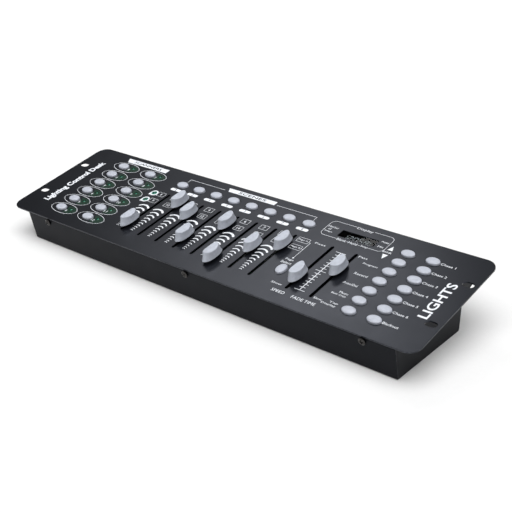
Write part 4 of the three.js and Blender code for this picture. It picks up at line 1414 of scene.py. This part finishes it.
class DESK_OT_stage(bpy.types.Operator):
    """Lay the pale floor, hang the soft light and set the camera"""
    bl_idname = "desk.stage"
    bl_label = "Stage"

    def execute(self, context):
        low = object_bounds()[0]
        lines, span = 33, 9
        share = np.linspace(0, 1, lines)
        across = (share - 0.5) * span
        depth = np.linspace(-span / 2, span / 2, lines)
        grid = np.stack(np.meshgrid(across, depth, indexing="ij"), -1).reshape(-1, 2)
        points = np.column_stack([grid, np.full(len(grid), low.z - 0.0004)])
        index = np.arange(len(points)).reshape(lines, lines)
        quads = np.stack([index[:-1, :-1], index[1:, :-1], index[1:, 1:], index[:-1, 1:]], -1).reshape(-1, 4)
        data = bpy.data.meshes.new("studio_floor")
        data.from_pydata(points.tolist(), [], quads.tolist())
        data.materials.append(floor_finish((0.86, 0.86, 0.86)))
        floor = bpy.data.objects.new("studio_floor", data)
        context.scene.collection.objects.link(floor)
        floor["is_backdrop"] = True
        self.hang_lights(context)
        self.aim_camera(context)
        context.scene.view_settings.view_transform = "Standard"
        return {"FINISHED"}

    def hang_lights(self, context):
        """A sky that brightens smoothly about one direction, and a softbox aimed at the desk."""
        world = bpy.data.worlds.new("studio_sky")
        world.use_nodes = True
        nodes, links = world.node_tree.nodes, world.node_tree.links
        sky = nodes["Background"]
        sky.inputs["Color"].default_value = (1, 1, 1, 1)
        place = nodes.new("ShaderNodeTexCoord").outputs["Generated"]
        overhead = nodes.new("ShaderNodeVectorMath")
        overhead.operation = "DOT_PRODUCT"
        overhead.inputs[1].default_value = Vector((0.19, -0.22, 0.95)).normalized()
        links.new(place, overhead.inputs[0])
        rise = nodes.new("ShaderNodeMapRange")
        rise.interpolation_type = "SMOOTHSTEP"
        for socket, number in zip(("From Min", "From Max", "To Min", "To Max"), (0.74, 0.92, 0.09, 3.7)):
            rise.inputs[socket].default_value = number
        links.new(overhead.outputs["Value"], rise.inputs["Value"])
        links.new(rise.outputs["Result"], sky.inputs["Strength"])
        context.scene.world = world
        softbox = bpy.data.lights.new("softbox", "AREA")
        softbox.shape = "RECTANGLE"
        softbox.size = 1.1
        softbox.size_y = 0.5
        softbox.energy = 9.8
        holder = bpy.data.objects.new("softbox", softbox)
        context.scene.collection.objects.link(holder)
        holder.location = (-1.515, 1.317, 2.23)
        holder.rotation_euler = (-Vector(holder.location)).to_track_quat("-Z", "Y").to_euler()
        holder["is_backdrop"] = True

    def aim_camera(self, context):
        """A camera on a line from the target at an azimuth and elevation, rolled a little."""
        azimuth, elevation, roll = (math.radians(angle) for angle in (40.95, 26.065, 1.916))
        target = Vector(to_desk([[25.73, 4.10, -22.95]])[0])
        toward = Vector((math.sin(azimuth) * math.cos(elevation), -math.cos(azimuth) * math.cos(elevation),
                         math.sin(elevation)))
        level = Vector((math.cos(azimuth), math.sin(azimuth), 0))
        upright = toward.cross(level)
        right = level * math.cos(roll) - upright * math.sin(roll)
        up = level * math.sin(roll) + upright * math.cos(roll)
        lens = bpy.data.cameras.new("camera")
        lens.lens = 68.13
        lens.sensor_width = 36
        lens.clip_start = 0.01
        holder = bpy.data.objects.new("camera", lens)
        context.scene.collection.objects.link(holder)
        turn = Matrix((right, up, toward)).transposed().to_4x4()
        distance = 0.89645
        holder.matrix_world = Matrix.Translation(target + toward * distance) @ turn
        context.scene.camera = holder
        holder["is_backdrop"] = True


# ---------------------------------------------------------------- sizes, colours and words

def tint(name, description, default):
    return FloatVectorProperty(name=name, description=description, default=default, subtype="COLOR", size=3,
                               min=0, max=1)


def span(name, description, default, low, high):
    return FloatProperty(name=name, description=description, default=default, min=low, max=high,
                         subtype="DISTANCE", unit="LENGTH", precision=4)


def word(name, description, default):
    return StringProperty(name=name, description=description, default=default)


class DeskSizes(bpy.types.PropertyGroup):
    """Sizes that can change without leaving the frame"""
    panel_edge: span("Panel Edge", "Radius rolled onto the panel's edges", 0.0002, 0.0001, 0.0006)
    button_height: span("Button Height", "Height of a button's dome over the panel", 0.0024, 0.0015, 0.0024)
    cap_dish: span("Cap Dish", "Depth of the hollow along a fader cap's top", 0.0013, 0, 0.003)
    cap_rib: span("Cap Rib", "Depth of the ribs across a fader cap's top", 0.0002, 0, 0.0004)


class DeskColours(bpy.types.PropertyGroup):
    """Colours of the finishes"""
    panel: tint("Panel", "Paint of the face panel", (0.003, 0.0034, 0.0048))
    # A little darker than the panel's same black paint: painted shade on the tray's walls.
    tray: tint("Tray", "Paint of the tray", (0.0026, 0.003, 0.0042))
    button: tint("Buttons", "Rubber of the buttons", (0.47, 0.495, 0.56))
    cap: tint("Fader Caps", "Plastic of the fader caps", (0.48, 0.51, 0.575))
    ink: tint("Legend", "Ink of the printed legend", (0.86, 0.89, 0.94))
    green: tint("Scanner Fields", "Ink of the fields beside the scanner buttons", (0.005, 0.028, 0.016))
    lamp: tint("Lamps", "Lenses of the indicator lamps", (0.03, 0.2, 0.12))


class DeskWords(bpy.types.PropertyGroup):
    """Words printed on the panel and shown on the display"""
    left_title: word("Left Title", "Title up the left end", "Lighting Control Desk")
    right_title: word("Right Title", "Title up the right end", "LIGHTS")
    scanner_heading: word("Scanner Heading", "Heading over the scanner buttons", "SCANNERS")
    scene_heading: word("Scene Heading", "Heading over the scene buttons", "SCENES")
    display_heading: word("Display Heading", "Heading over the display", "Display")
    speed: word("Speed", "Name of the first time fader", "SPEED")
    fade: word("Fade Time", "Name of the second time fader", "FADE TIME")
    slow: word("Slow End", "Mark at the front of the time faders", "Slow")
    fast: word("Fast End", "Mark at the rear of the time faders", "Fast")
    display: word("Display Digits", "Digits on the display", "2058")


PIECES = [DESK_OT_panel, DESK_OT_tray, DESK_OT_screws, DESK_OT_boards, DESK_OT_display, DESK_OT_sockets,
          DESK_OT_power_switch, DESK_OT_buttons, DESK_OT_caps, DESK_OT_lamps, DESK_OT_scanner_legend,
          DESK_OT_scene_legend, DESK_OT_fader_legend, DESK_OT_program_legend, DESK_OT_titles, DESK_OT_stage]


class VIEW3D_PT_desk(bpy.types.Panel):
    """Lists the desk's sizes, colours, words and the operators that build it"""
    bl_idname = "VIEW3D_PT_desk"
    bl_label = "Lighting Control Desk"
    bl_space_type = "VIEW_3D"
    bl_region_type = "UI"
    bl_category = "Desk"

    def draw(self, context):
        for group in (context.scene.desk_sizes, context.scene.desk_colours, context.scene.desk_words):
            box = self.layout.box()
            for name in group.__annotations__:
                box.prop(group, name)
        column = self.layout.column(align=True)
        for operator in PIECES:
            column.operator(operator.bl_idname)


CLASSES = [DeskSizes, DeskColours, DeskWords, *PIECES, VIEW3D_PT_desk]


def register():
    for cls in CLASSES:
        bpy.utils.register_class(cls)
    bpy.types.Scene.desk_sizes = PointerProperty(type=DeskSizes)
    bpy.types.Scene.desk_colours = PointerProperty(type=DeskColours)
    bpy.types.Scene.desk_words = PointerProperty(type=DeskWords)


def unregister():
    del bpy.types.Scene.desk_words
    del bpy.types.Scene.desk_colours
    del bpy.types.Scene.desk_sizes
    for cls in reversed(CLASSES):
        bpy.utils.unregister_class(cls)


def main():
    register()
    for operator in PIECES:
        group, name = operator.bl_idname.split(".")
        getattr(getattr(bpy.ops, group), name)()


if __name__ == "__main__":
    main()
